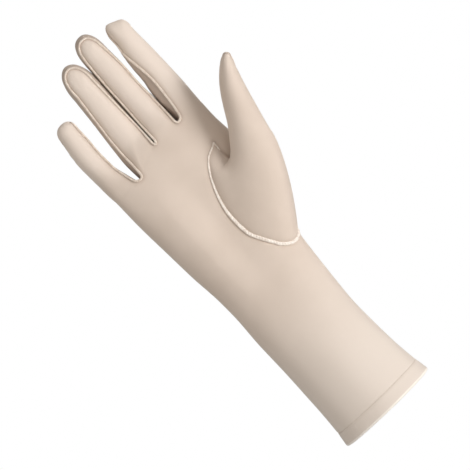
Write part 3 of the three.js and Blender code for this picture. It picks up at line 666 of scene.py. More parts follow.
FACES = (
    Face(0, FIRST_COLUMNS[RADIAL // 2], HOLE_MIDDLE),
    Face(HOLE_MIDDLE, FIRST_COLUMNS[RADIAL + RADIAL // 2], LAST_COLUMN),
)
LINE = "row x z"
PALM_LINES = (
    Profile(
        LINE,
        (0, -13.0, 0),
        (WRIST_ROW, -15.5, 119.5),
        (POINT_ROW, -15.5, 198.5),
        (WEB_ROW, -12.4, 217.7),
    ),
    Profile(
        LINE,
        (0, 2.0, 0),
        (WRIST_ROW, 1.5, 121.5),
        (WRIST_ROW + 4, -1.5, 162.0),
        (POINT_ROW, 9.5, 203.0),
        (WEB_ROW, 10.1, 227.3),
    ),
    Profile(
        LINE,
        (0, 16.0, 0),
        (WRIST_ROW - 1, 27.6, 115.5),
        (WRIST_ROW, 23.2, 125.5),
        (WRIST_ROW + 1, 17.4, 135.5),
        (WRIST_ROW + 2, 13.3, 145.0),
        (WRIST_ROW + 3, 12.6, 154.5),
        (WRIST_ROW + 4, 13.1, 163.5),
        (WRIST_ROW + 5, 15.1, 172.5),
        (WRIST_ROW + 6, 18.4, 181.5),
        (WRIST_ROW + 7, 22.9, 190.3),
        (WRIST_ROW + 8, 29.2, 197.8),
        (POINT_ROW, 38.2, 202.8),
        (WEB_ROW, 31.0, 227.5),
    ),
)
BACK_LINES = (
    Profile(
        LINE,
        (0, -13.0, 0),
        (WRIST_ROW, -15.5, 119.5),
        (POINT_ROW, -15.5, 197.0),
        (WEB_ROW, -12.4, 217.7),
    ),
    Profile(
        LINE,
        (0, 2.0, 0),
        (WRIST_ROW, 2.0, 121.5),
        (POINT_ROW, 9.5, 199.0),
        (WEB_ROW, 10.1, 226.8),
    ),
    Profile(
        LINE,
        (0, 16.0, 0),
        (WRIST_ROW - 1, 29.0, 116.5),
        (WRIST_ROW, 27.0, 124.5),
        (WRIST_ROW + 1, 24.4, 132.0),
        (WRIST_ROW + 2, 23.0, 140.0),
        (WRIST_ROW + 3, 22.6, 148.0),
        (WRIST_ROW + 4, 23.2, 156.0),
        (WRIST_ROW + 5, 24.8, 164.0),
        (WRIST_ROW + 6, 27.3, 171.5),
        (WRIST_ROW + 7, 30.4, 178.5),
        (WRIST_ROW + 8, 34.0, 184.5),
        (POINT_ROW, 38.0, 189.0),
        (WEB_ROW, 31.0, 226.8),
    ),
)
ULNAR_LINE = Profile("row z", (0, 0), (WRIST_ROW, 119.0), (POINT_ROW, 196.0), (WEB_ROW, 216.0))
RADIAL_LINE = Profile("row z", (0, 0), (WRIST_ROW, 123.8), (POINT_ROW, 190.0), (WEB_ROW, 226.5))
WEB_EDGE = Profile(
    "share x z",
    (0, 38.2, 202.8),
    (1 / 6, 37.2, 192.5),
    (2 / 6, 37.7, 186.4),
    (3 / 6, 40.0, 185.2),
    (4 / 6, 43.6, 186.4),
    (5 / 6, 47.2, 188.2),
    (1, 50.1, 190.0),
)


def turns_between(start: float, stop: float) -> list[float]:
    """Turns round a tip, after one turn and before another.

    Args:
        start: the one turn.
        stop: the other.

    Returns:
        The turns between them.
    """
    step = DOME_STEP / FINE
    count = round((stop - start) / step)
    return [start + (stop - start) * i / count for i in range(1, count)]


def finer(stops: Sequence[float], parts: int, first_power: float = 1.0) -> list[float]:
    """Splits each step between stops.

    Args:
        stops: the places, in order.
        parts: new steps for each old one.
        first_power: above 1, the first step's new ones start small.

    Returns:
        All the places.
    """
    places = [stops[0]]
    for number, (low, high) in enumerate(zip(stops, stops[1:])):
        power = first_power if number == 0 else 1.0
        places += [lerp(low, high, (part / parts) ** power) for part in range(1, parts + 1)]
    return places


FINGER_STOPS = (0, 0.033, 0.1, 0.2, 0.33, 0.47, 0.61, 0.75, 0.88, 1.0)  # web to rounded tip
THUMB_STOPS = (0, 0.14, 0.3, 0.46, 0.62, 0.76, 0.88, 0.96, 1.0)  # first ring to tip
LEVELS = finer(FINGER_STOPS, FINE, first_power=1.5)
DOME_CELLS = 4
DOME_ROWS = DOME_CELLS * FINE
DOME_CORNER = math.pi / 3  # turn round the tip at which a strip's side becomes its end
PALM_EDGE = 0.0  # shares across the fingers' side wall
BACK_EDGE = 1.0


class SeamPoint(NamedTuple):
    """A place on a seam, the direction out of the cloth there and the seam's share of its full size."""

    point: Vector
    normal: Vector
    size: float = 1.0


class LoopKnot(NamedTuple):
    """A knot of the thumb's seam, with the direction across the seam into the hand's cloth."""

    point: Vector
    normal: Vector
    off: Vector


@dataclass(eq=False)
class HandForm:
    """Sleeve, hand and fingers, as one form that every cloth piece and seam is laid on.

    It is made once, and keeps the places that are asked for again and again.
    """

    sleeve: Sleeve = Sleeve()
    hem_height: float = 10.35  # of the groove above the hem
    groove_depth: float = 0.26
    groove_reach: float = 0.8
    ulnar_turn: float = 0.3  # angle of the side seam behind the ulnar edge
    crotch_share: float = 0.5  # of a segment, over which a crotch is felt
    crotch_round: float = 3.2  # height of the round curve beside a crotch
    middle_blend: float = 20.0  # height over which the hand's section becomes a finger's
    wrist_dip: float = 27.0  # sets how far the hole's lower edge dips
    wrist_lean: float = 1.6  # above 1, its lowest place is nearer to the seam
    point_drop: float = 0.4  # share of the way to the fold that takes the whole fall
    web_edge_rows: float = 1.6  # rows above the hole over which its edge is felt
    corner_limit: float = 0.3  # holds back the directions at sharp corners
    corner_passes: int = 3
    slope_step: float = 0.1  # columns to each side

    @cache
    def boundary(self, line: int, row: float) -> tuple[float, float]:
        """Angle and height of a guide line at a row.

        Args:
            line: number of the guide line.
            row: row of the net.

        Returns:
            The angle and the height.
        """
        if line == RADIAL:
            return 0.0, RADIAL_LINE.at("z", row)
        if line in (0, len(SEGMENTS)):
            half_turn = math.pi if line == 0 else -math.pi
            return half_turn + self.ulnar_turn, ULNAR_LINE.at("z", row)
        side = Side.PALM if line < RADIAL else Side.BACK
        table = PALM_LINES[line - 1] if side is Side.PALM else BACK_LINES[len(SEGMENTS) - 1 - line]
        z = table.at("z", row)
        return self.sleeve.angle(table.at("x", row), z, side), z

    def spot(self, column: float, row: float) -> tuple[float, float]:
        """Angle and height on the sleeve of a place of the net.

        Args:
            column: column of the net.
            row: row of the net.

        Returns:
            The angle and the height.
        """
        number = min(bisect_right(FIRST_COLUMNS, column) - 1, len(SEGMENTS) - 1)
        segment = SEGMENTS[number]
        share = (column - FIRST_COLUMNS[number]) / segment.columns
        start = self.boundary(number, row)
        stop = self.boundary(number + 1, row)
        if segment.digit is not Digit.INDEX:
            level = lerp(share, smoothstep(share, 0, 1), smoothstep(row, POINT_ROW, WEB_ROW))
            return lerp(start[0], stop[0], share), lerp(start[1], stop[1], level)
        palm = segment.side is Side.PALM
        seam, fold = (start, stop) if palm else (stop, start)
        to_fold = share if palm else 1 - share
        angle = lerp(seam[0], fold[0], to_fold)
        if row <= WRIST_ROW:
            curve = to_fold * (1 - to_fold) ** self.wrist_lean
            dip = self.wrist_dip * (row / WRIST_ROW) ** 2 * curve
            return angle, lerp(seam[1], fold[1], to_fold) - dip
        drop = math.sin(math.pi / 2 * min(1.0, to_fold / self.point_drop))
        z = lerp(seam[1], fold[1], drop)
        if palm and row >= POINT_ROW:
            edge_z = WEB_EDGE.at("z", share)
            edge_angle = self.sleeve.angle(WEB_EDGE.at("x", share), edge_z, Side.PALM)
            left = 1 - smoothstep(row, POINT_ROW, POINT_ROW + self.web_edge_rows)
            foot = self.boundary(number, POINT_ROW)
            fold_foot = self.boundary(number + 1, POINT_ROW)
            angle += left * (edge_angle - lerp(foot[0], fold_foot[0], to_fold))
            z += left * (edge_z - lerp(foot[1], fold_foot[1], drop))
        return angle, z

    def knot(self, column: float, row: float) -> Vector:
        """Place on the outer face of the cloth below the fingers.

        Args:
            column: column of the net.
            row: row of the net.

        Returns:
            The place.
        """
        angle, z = self.spot(column, row)
        if row < 1:
            z = lerp(self.hem_height, self.spot(column, 1)[1], row)
        point = self.sleeve.point(angle, z)
        groove = self.groove_depth * bell(z - self.hem_height, self.groove_reach)
        return point - self.sleeve.normal(angle, z) * groove

    def crotch(self, line: int, share: float) -> Vector:
        """Lowest place of the side wall between two fingers, from the palm (0) to the back (1)."""
        palm = self.knot(FIRST_COLUMNS[line], WEB_ROW)
        return palm.lerp(self.knot(FIRST_COLUMNS[len(SEGMENTS) - line], WEB_ROW), share)

    def slow(self, height: float) -> float:
        """How far a place above the web has taken its finger's section in depth."""
        return smoothstep(height, 0, self.middle_blend)

    def quick(self, height: float) -> float:
        """How far a place above a crotch has taken its finger's width, in a round curve."""
        left = 1 - min(1.0, height / self.crotch_round)
        return math.sqrt(max(0.0, 1 - left * left))

    def face(self, x: float, z: float, share: float) -> float:
        """Depth of the sleeve at a place, from its palm face (0) to its back face (1)."""
        palm = self.sleeve.point(self.sleeve.angle(x, z, Side.PALM), z).y
        return lerp(palm, self.sleeve.point(self.sleeve.angle(x, z, Side.BACK), z).y, share)

    def risen(self, finger: Finger, base: Vector, target: Vector, near: float, share: float) -> Vector:
        """Moves a place at the web up its finger, then gives it the finger's own section.

        Args:
            finger: the finger.
            base: the place at the web.
            target: the place on the finger's section.
            near: how near to a crotch it is, from 0 to 1.
            share: its place on the way from the palm's face (0) to the back (1).

        Returns:
            The place between them.
        """
        drift = finger.axis(target.z) - finger.axis(base.z)
        height = target.z - base.z
        slow = self.slow(height)
        x = lerp(base.x + drift.x, target.x, lerp(slow, self.quick(height), near))
        shift = self.face(x - drift.x, base.z, share) - self.face(base.x, base.z, share)
        web_y = base.y + drift.y + near * shift
        return Vector((x, lerp(web_y, target.y, slow), target.z))

    @cache
    def strip(self, number: int, column: float, level: float) -> Vector:
        """Place on a finger's strip.

        Args:
            number: number of the segment.
            column: column within it.
            level: from the web (0) to the rounded tip (1).

        Returns:
            The place.
        """
        segment = SEGMENTS[number]
        finger = FINGERS[segment.digit]
        palm = segment.side is Side.PALM
        edge_share = PALM_EDGE if palm else BACK_EDGE
        base = self.knot(FIRST_COLUMNS[number] + column, WEB_ROW)
        z = lerp(base.z, finger.tip_foot, level)
        left = finger.side_station(Edge.LEFT, z).tilt(edge_share)
        left_angle = (math.pi if palm else -math.pi) - left
        right = 0.0
        if segment.digit is not Digit.INDEX:
            right = finger.side_station(Edge.RIGHT, z).tilt(edge_share)
        share = column / segment.columns
        angle = lerp(left_angle, right, share if palm else 1 - share)
        near = segment.nearness(share, self.crotch_share)
        place = self.risen(finger, base, finger.point(angle, z), near, edge_share)
        along = (place.x - base.x) * (1 - self.slow(z - base.z))
        return place + Vector((0, 0, along * self.web_slope(number, column)))

    def web_slope(self, number: int, column: float) -> float:
        """Slope of the web's row in the middle of a segment, which is level at its ends.

        Args:
            number: number of the segment.
            column: column within it.

        Returns:
            The rise for each step across.
        """
        first = FIRST_COLUMNS[number]
        if column in (0, SEGMENTS[number].columns) or SEGMENTS[number].digit is Digit.INDEX:
            return 0.0
        before = self.knot(first + column - self.slope_step, WEB_ROW)
        after = self.knot(first + column + self.slope_step, WEB_ROW)
        return (after.z - before.z) / (after.x - before.x)

    @cache
    def end(self, number: int, turn: float) -> Vector:
        """Place on the edge of a strip's rounded end.

        Args:
            number: number of the segment.
            turn: from the right foot of the tip (0) to its left foot (pi).

        Returns:
            The place.
        """
        segment = SEGMENTS[number]
        station = FINGERS[segment.digit].tip_station(turn)
        share = PALM_EDGE if segment.side is Side.PALM else BACK_EDGE
        return station.curve(station.tilt(share))

    def dome(self, number: int, column: float, up: float) -> Vector:
        """Place on a strip's rounded end, with its sides along the tip and its last row over the apex.

        Args:
            number: number of the segment.
            column: column within it.
            up: from the foot of the tip (0) to the last row (1).

        Returns:
            The place.
        """
        segment = SEGMENTS[number]
        palm = segment.side is Side.PALM
        share = column / segment.columns
        across = share if palm else 1 - share

        def foot_at(part: float) -> Vector:
            """Place on the last row below the tip."""
            return self.strip(number, (part if palm else 1 - part) * segment.columns, 1.0)

        def left_at(rise: float) -> Vector:
            """Place on the left side."""
            return foot_at(0) if rise == 0 else self.end(number, math.pi - rise * DOME_CORNER)

        def right_at(rise: float) -> Vector:
            """Place on the right side."""
            return foot_at(1) if rise == 0 else self.end(number, rise * DOME_CORNER)

        def end_at(part: float) -> Vector:
            """Place on the last row."""
            return self.end(number, lerp(math.pi - DOME_CORNER, DOME_CORNER, part))

        if across == 0:
            return left_at(up)
        if across == 1:
            return right_at(up)
        if up == 1:
            return end_at(across)
        rows = foot_at(across).lerp(end_at(across), up)
        sides = left_at(up).lerp(right_at(up), across)
        corners = foot_at(0).lerp(foot_at(1), across).lerp(end_at(0).lerp(end_at(1), across), up)
        return FINGERS[segment.digit].onto_tip(rows + sides - corners, segment.side)

    def wall_line(self, share: float, start: float, stop: float) -> list[SeamPoint]:
        """Line along the fingers' side wall, from the index tip between the fingers to the little tip.

        Args:
            share: from the palm seam (0) to the back seam (1).
            start: turn round the index tip at which it starts.
            stop: turn round the little tip at which it ends.

        Returns:
            Its places, which match from share to share.
        """
        line: list[SeamPoint] = []

        def on_tip(digit: Digit, turn: float) -> None:
            """Adds a place on a rounded tip.

            Args:
                digit: the finger.
                turn: from the right foot of the tip (0) to its left foot (pi).
            """
            station = FINGERS[digit].tip_station(turn)
            point = station.curve(station.tilt(share))
            size = FINGERS[digit].seam_size(turn)
            line.append(SeamPoint(point, (point - station.core).normalized(), size))

        def on_side(digit: Digit, edge: Edge, base: Vector, level: float) -> None:
            """Adds a place on a finger's side.

            Args:
                digit: the finger.
                edge: its edge.
                base: lowest place of the wall between two fingers.
                level: from the web (0) to the rounded tip (1).
            """
            finger = FINGERS[digit]
            station = finger.side_station(edge, lerp(base.z, finger.tip_foot, level))
            target = station.curve(station.tilt(share))
            point = self.risen(finger, base, target, 1.0, share)
            facing = 2 * share - 1
            out = (target - station.core).normalized()
            corner = Vector((out.x, facing, 0)).normalized()
            web = Vector((0, facing, 1)).normalized()
            height = point.z - base.z
            side = corner.lerp(out, self.slow(height))
            line.append(SeamPoint(point, web.lerp(side, self.quick(height)).normalized()))

        for turn in [start, *turns_between(start, math.pi)]:
            on_tip(Digit.INDEX, turn)
        order = (Digit.INDEX, Digit.MIDDLE, Digit.RING, Digit.LITTLE)
        for line_number, right, left in zip((3, 2, 1), order, order[1:]):
            base = self.crotch(line_number, share)
            for level in reversed(LEVELS):
                on_side(right, Edge.LEFT, base, level)
            for level in LEVELS[1:]:
                on_side(left, Edge.RIGHT, base, level)
            for turn in turns_between(0, stop if left is Digit.LITTLE else math.pi):
                on_tip(left, turn)
        on_tip(Digit.LITTLE, stop)
        return line

    def ulnar_line(self) -> list[SeamPoint]:
        """Side seam, from the little finger's tip down to the hem.

        Returns:
            Its places.
        """
        little = FINGERS[Digit.LITTLE]
        line: list[SeamPoint] = []
        for level in reversed(LEVELS):
            point = self.strip(0, 0, level)
            size = lerp(1.0, little.tip_seam, level)
            line.append(SeamPoint(point, (point - little.axis(point.z)).normalized(), size))
        for row in reversed(finer(range(WEB_ROW), FINE) + finer((WEB_ROW - 1, WEB_ROW), FINE)[1:-1]):
            angle, z = self.boundary(0, row)
            z = max(z, self.hem_height)
            line.append(SeamPoint(self.sleeve.point(angle, z), self.sleeve.normal(angle, z)))
        return line

    def loop_spot(self, step: float) -> tuple[float, float]:
        """Column and row of the net at a step round the thumb's hole.

        Args:
            step: steps from the web, down the palm first.

        Returns:
            The column and the row.
        """
        if step <= HOLE_HALF:
            return HOLE_MIDDLE - step, POINT_ROW
        step -= HOLE_HALF
        if step <= HOLE_ROWS:
            return HOLE_FROM, POINT_ROW - step
        step -= HOLE_ROWS
        if step <= 2 * HOLE_HALF:
            return HOLE_FROM + step, WRIST_ROW
        step -= 2 * HOLE_HALF
        if step <= HOLE_ROWS:
            return HOLE_TO, WRIST_ROW + step
        return HOLE_TO - (step - HOLE_ROWS), POINT_ROW

    def loop(self) -> list[LoopKnot]:
        """Knots of the thumb's seam, one for each step round the hole.

        Returns:
            The knots, their directions evened out at the corners.
        """
        spots = [self.spot(*self.loop_spot(step)) for step in range(LOOP_STEPS)]
        points = [self.sleeve.point(*spot) for spot in spots]
        normals = [self.sleeve.normal(*spot) for spot in spots]

        def sideways(i: int, j: int) -> Vector:
            """Direction across the seam between two knots."""
            return (points[j] - points[i]).cross(normals[i]).normalized()

        knots = []
        for i, point in enumerate(points):
            before = sideways(i - 1, i)
            after = sideways(i, (i + 1) % LOOP_STEPS)
            off = (before + after) / (1 + clamp(before.dot(after), -self.corner_limit, 1))
            knots.append(LoopKnot(point, normals[i], off))
        for _ in range(self.corner_passes):
            softer = []
            for i, knot in enumerate(knots):
                sides = knots[i - 1].off + knots[(i + 1) % LOOP_STEPS].off
                softer.append(knot._replace(off=(knot.off * 2 + sides) / 4))
            knots = softer
        return knots


@dataclass
class ThumbForm:
    """Set-in thumb: rings square to its axis, with angle 0 at the closing seam, and the gusset below."""

    hand: HandForm
    rings: Profile = Profile(
        "t x y z width depth turn",
        (0.0, 57.8, -18.0, 188.9, 13.8, 11.5, 1.0),
        (0.2, 62.2, -21.5, 198.5, 11.6, 11.0, 0.9),
        (0.42, 66.9, -25.5, 210.0, 9.8, 10.4, 0.75),
        (0.62, 71.3, -29.0, 219.6, 8.1, 9.6, 0.6),
        (0.8, 76.9, -32.6, 229.0, 5.7, 8.2, 0.5),
        (0.92, 80.6, -34.8, 234.0, 3.7, 5.8, 0.45),
        (1.0, 82.8, -36.0, 236.6, 1.7, 1.4, 0.4),
    )
    corner_turns: tuple[float, ...] = (0, 0.3, 0.92, 1.18, 1.46, 1.83, 2)  # half turns, by corner
    leave_pull: float = 24.0  # of the hand's direction on the gusset
    arrive_pull: float = 52.0  # of the first ring's direction on it
    bulge: float = 0.15  # rounds the gusset's outer side
    leg_foot: float = 182.5  # height that the cloth beside the web drops to
    leg_out: float = 2.5  # how far it stands off the palm
    leg_pull: float = 3.0
    leg_steps: tuple[float, ...] = (1.5, 3.0, 6.0, 9.0)  # round the hole, where this comes and goes
    web_pull: float = 0.3  # share of both pulls at the web
    web_front: float = 3.0  # steps over which they grow on the palm's side
    web_back: float = 12.0  # and on the back
    web_lean: float = -0.4  # lean at the web, below zero away from the hand's cloth
    hand_lean: float = -1.0  # lean elsewhere
    web_stops: tuple[float, ...] = (0, 0.25, 0.5, 0.75)
    split: float = 0.8  # ring at which the closing seam ends behind the tip
    axis_step: float = 0.02
    ring_step: float = 0.06
    tip_rise: float = 0.9
    tip_ring: float = 0.96  # last ring below the rounded tip
    web_seam: float = 0.5  # share of the seam's size at the web
    web_seam_steps: tuple[float, float] = (7.0, 12.5)
    end_seam: float = 0.2  # share of the closing seam's size at its end

    def __post_init__(self) -> None:
        """Makes the loop that the gusset starts from, and the turn of each of its steps."""
        self.loop = self.hand.loop()
        runs = (0, HOLE_HALF, HOLE_ROWS, HOLE_HALF, HOLE_HALF, HOLE_ROWS, HOLE_HALF)
        rows = zip(accumulate(runs), (turn * math.pi for turn in self.corner_turns))
        self.turns = Profile("step angle", *rows)
        self.tip_angle = self.turns.at("angle", LOOP_STEPS / 2)

    def axis(self, t: float) -> Vector:
        """Middle of a ring."""
        return Vector(self.rings.at(column, t) for column in "xyz")

    def point(self, angle: float, t: float) -> Vector:
        """Place on a ring, or on the rounded tip above the last one.

        Args:
            angle: angle round the ring.
            t: from the first ring (0) to the tip (1).

        Returns:
            The place.
        """
        if t > self.tip_ring:
            turn = math.pi / 2 * (t - self.tip_ring) / (1 - self.tip_ring)
            core = self.axis(self.tip_ring)
            out = (self.point(angle, self.tip_ring) - core) * math.cos(turn)
            return core + out + (self.apex() - core) * math.sin(turn)
        along = self.axis(min(1, t + self.axis_step)) - self.axis(max(0, t - self.axis_step))
        along.normalize()
        right = Vector((along.z, 0, -along.x)).normalized()
        front = right.cross(along)
        turned = angle - self.rings.at("turn", t)
        across = -math.cos(turned) * self.rings.at("width", t)
        return self.axis(t) + right * across + front * (math.sin(turned) * self.rings.at("depth", t))

    def outward(self, angle: float, t: float) -> Vector:
        """Direction out of a ring or of the rounded tip."""
        return (self.point(angle, t) - self.axis(min(t, self.tip_ring))).normalized()

    def gusset(self, step: float, share: float) -> Vector:
        """Place between the seam in the hand and the first ring.

        Args:
            step: steps round the hole.
            share: from the seam (0) to the first ring (1).

        Returns:
            The place.
        """
        i = int(step)
        before = self.loop[i % LOOP_STEPS]
        after = self.loop[(i + 1) % LOOP_STEPS]
        normal = before.normal.lerp(after.normal, step - i)
        off = before.off.lerp(after.off, step - i)
        start = self.hand.sleeve.point(*self.hand.spot(*self.hand.loop_spot(step)))
        angle = self.turns.at("angle", step)
        end = self.point(angle, 0)
        grown = smoothstep(step, 0, self.web_front) * smoothstep(LOOP_STEPS - step, 0, self.web_back)
        leave = (normal + off * lerp(self.web_lean, self.hand_lean, grown)).normalized()
        arrive = (self.point(angle, self.ring_step) - end).normalized()
        arrive.x -= self.bulge * (1 - math.cos(angle - self.rings.at("turn", 0))) / 2
        pull = lerp(self.web_pull, 1, grown)
        first, near, far, last = self.leg_steps
        beside = smoothstep(step, first, near) * (1 - smoothstep(step, far, last))
        down = Vector((0, -self.leg_out, self.leg_foot - start.z)) * self.leg_pull
        leave = (leave * (self.leave_pull * pull)).lerp(down, beside)
        return hermite(start, end, leave, arrive * (self.arrive_pull * pull), share)

    def seam_line(self) -> list[SeamPoint]:
        """Seam round the hole in the hand.

        Returns:
            Its places.
        """
        line = []
        for step in finer(range(LOOP_STEPS + 1), FINE):
            spot = self.hand.spot(*self.hand.loop_spot(step))
            size = lerp(self.web_seam, 1.0, smoothstep(step, *self.web_seam_steps))
            line.append(SeamPoint(self.hand.sleeve.point(*spot), self.hand.sleeve.normal(*spot), size))
        return line

    def closing_line(self) -> list[SeamPoint]:
        """Closing seam, from the web up the inner side and over the tip.

        Returns:
            Its places.
        """
        line = []
        web = self.loop[0].normal
        for share in finer(self.web_stops, FINE):
            point = self.gusset(0, share)
            out = (point - self.axis(0)).normalized()
            line.append(SeamPoint(point, web.lerp(out, share).normalized()))
        for t in finer(THUMB_STOPS, FINE):
            line.append(SeamPoint(self.point(0, t), self.outward(0, t)))
        for t in reversed([t for t in finer(THUMB_STOPS, FINE) if self.split < t < 1]):
            size = lerp(self.end_seam, 1.0, smoothstep(t, self.split, self.tip_ring))
            line.append(SeamPoint(self.point(self.tip_angle, t), self.outward(self.tip_angle, t), size))
        return line

    def apex(self) -> Vector:
        """Outermost place of the tip."""
        ahead = (self.axis(1) - self.axis(1 - self.axis_step)).normalized()
        return self.axis(1) + ahead * self.tip_rise


def new_piece(name: str, points: Sequence[Vector], faces: Sequence[Sequence[int]]) -> bpy.types.Object:
    """Makes a mesh object at the origin.

    Args:
        name: the piece's name.
        points: its corners, in millimetres.
        faces: the corners of each face.

    Returns:
        The object, in metres.
    """
    mesh = bpy.data.meshes.new(name)
    mesh.from_pydata([point * MM for point in points], [], faces)
    piece = bpy.data.objects.new(name, mesh)
    bpy.context.scene.collection.objects.link(piece)
    return piece


def lengths_along(points: Sequence[Vector]) -> list[float]:
    """Lengths along a row of places.

    Args:
        points: the places.

    Returns:
        The length from the first place to each of them.
    """
    lengths = [0.0]
    for before, after in zip(points, points[1:]):
        lengths.append(lengths[-1] + (after - before).length)
    return lengths


class Cloth:
    """A net of quads on the outer face of a sheet, with each knot's place on the unrolled cloth."""

    def __init__(self) -> None:
        """Starts an empty net."""
        self.points: list[Vector] = []
        self.names: dict[Hashable, int] = {}
        self.quads: list[list[int]] = []
        self.charts: list[tuple[float, float]] = []

    def weave(
        self,
        columns: int,
        rows: int,
        name: Callable[[int, int], Hashable],
        place: Place,
        start: int,
        origin: tuple[float, float] = (0.0, 0.0),
        upright: bool = False,
        is_open: Optional[Callable[[int, int], bool]] = None,
    ) -> None:
        """Fills a grid with quads that face out.

        Args:
            columns: cells across.
            rows: cells along.
            name: gives a knot's name, so that neighbours share it.
            place: gives a knot's place.
            start: column that the unrolled cloth is measured from.
            origin: place of that column's first knot on the unrolled cloth.
            upright: measures along the cloth by height.
            is_open: says which cells are left open.
        """
        grid = [[place(c, r) for c in range(columns + 1)] for r in range(rows + 1)]
        chart = []
        for row, along in zip(grid, lengths_along([row[start] for row in grid])):
            across = lengths_along(row)
            left = origin[0] - across[start]
            heights = [point.z if upright else origin[1] + along for point in row]
            chart.append([(left + reach, height) for reach, height in zip(across, heights)])
        for c in range(columns):
            for r in range(rows):
                if is_open and is_open(c, r):
                    continue
                quad = []
                for x, y in ((c, r), (c + 1, r), (c + 1, r + 1), (c, r + 1)):
                    quad.append(self.knot(name(x, y), grid[y][x]))
                    self.charts.append(chart[y][x])
                self.quads.append(quad)

    def knot(self, name: Hashable, point: Vector) -> int:
        """Number of a knot, which is added when its name is new.

        Args:
            name: the knot's name.
            point: its place.

        Returns:
            The number.
        """
        if name not in self.names:
            self.names[name] = len(self.points)
            self.points.append(point)
        return self.names[name]

    def piece(self, name: str) -> bpy.types.Object:
        """Makes the net an object in metres, with its unrolled places as a UV map.

        Args:
            name: the piece's name.

        Returns:
            The object.
        """
        piece = new_piece(name, self.points, self.quads)
        layer = piece.data.uv_layers.new(name=UV_NAME)
        layer.data.foreach_set("uv", [value for place in self.charts for value in place])
        return piece


def select_only(piece: bpy.types.Object) -> None:
    """Makes a piece the only one that operators act on.

    Args:
        piece: the piece.
    """
    bpy.ops.object.select_all(action="DESELECT")
    piece.select_set(True)
    bpy.context.view_layer.objects.active = piece


@contextmanager
def editing() -> Iterator[None]:
    """Opens the active piece in edit mode, with all of it selected.

    Yields:
        Nothing.
    """
    bpy.ops.object.mode_set(mode="EDIT")
    bpy.ops.mesh.select_all(action="SELECT")
    yield
    bpy.ops.object.mode_set(mode="OBJECT")


@dataclass(frozen=True)
class Pucker:
    """How the cloth sinks beside a seam and ripples along it."""

    trough: float = 0.4
    trough_reach: float = 1.9
    ripple: float = 0.16
    ripple_reach: float = 4.5
    ripple_length: float = 6.5
    wave: float = 0.4
    wave_length: float = 38.0
    # reach of the painted shade beside a seam
    ditch_shade_reach: float = 1.7

    def depth(self, distance: float, along: float) -> float:
        """Height of the cloth at a distance from a seam and a length along it.

        Args:
            distance: distance from the seam.
            along: length along it.

        Returns:
            The height, below zero in the trough.
        """
        phase = math.sin(2 * math.pi * along / self.ripple_length)
        ripple = self.ripple * phase * bell(distance, self.ripple_reach)
        near = bell(distance, self.trough_reach)
        return ripple * (1 - near) - self.trough * near

    def waves(self, point: Vector, distance: float) -> float:
        """Height of the slow waves at a place, which fade towards a seam."""
        far = 1 - bell(distance, self.ripple_reach)
        return self.wave * noise.noise(point / self.wave_length) * far


class SeamMap:
    """Finds the nearest seam to a place on the cloth."""

    def __init__(self, lines: Sequence[Sequence[SeamPoint]]) -> None:
        """Stores every place of the seams.

        Args:
            lines: the seams.
        """
        self.tree = KDTree(sum(len(line) for line in lines))
        self.along: list[float] = []
        self.normals: list[Vector] = []
        for line in lines:
            for place, length in zip(line, lengths_along([place.point for place in line])):
                self.tree.insert(place.point, len(self.along))
                self.along.append(length)
                self.normals.append(place.normal)
        self.tree.balance()

    def pucker(self, piece: bpy.types.Object, form: Pucker) -> None:
        """Sinks and ripples cloth beside the seams, and stores how near each place is to one as the mask
        of the painted shade beside them.

        Args:
            piece: the net.
            form: the puckers.
        """
        mesh = piece.data
        normals = [vertex.normal.copy() for vertex in mesh.vertices]
        ditch_shade = mesh.attributes.new(DITCH_SHADE_NAME, "FLOAT", "POINT")
        for vertex, normal in zip(mesh.vertices, normals):
            point = vertex.co / MM
            _, number, distance = self.tree.find(point)
            height = form.depth(distance, self.along[number]) + form.waves(point, distance)
            out = normal.lerp(self.normals[number], bell(distance, form.trough_reach)).normalized()
            vertex.co += out * (height * MM)
            # mask of the painted shade beside the seam
            ditch_shade.data[vertex.index].value = bell(distance, form.ditch_shade_reach)
        mesh.update()


@dataclass
class ClothPiece:
    """A piece of knit cloth that stands for one solid."""

    name: str
    node: str
    flat: tuple[float, float]
    area: float
    wall: float = 1.1
    merge: float = 0.01
    smooth_angle: float = math.radians(50)

    def finish(self, piece: bpy.types.Object, knit: bpy.types.Material) -> None:
        """Gives a net its thickness, its finish and its place on the frame.

        Args:
            piece: the net.
            knit: its material.
        """
        select_only(piece)
        wall = piece.modifiers.new("wall", "SOLIDIFY")
        wall.thickness = self.wall * MM
        wall.offset = -1
        bpy.ops.object.modifier_apply(modifier=wall.name)
        bpy.ops.object.shade_smooth_by_angle(angle=self.smooth_angle)
        piece.data.materials.append(knit)
        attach(piece, BODY)
        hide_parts(self.node)

    def close(self, cloth: Cloth) -> bpy.types.Object:
        """Makes a net an object, and merges the edges that a seam joins.

        Args:
            cloth: the net.

        Returns:
            The object.
        """
        piece = cloth.piece(self.name)
        select_only(piece)
        with editing():
            bpy.ops.mesh.remove_doubles(threshold=self.merge * MM)
        return piece


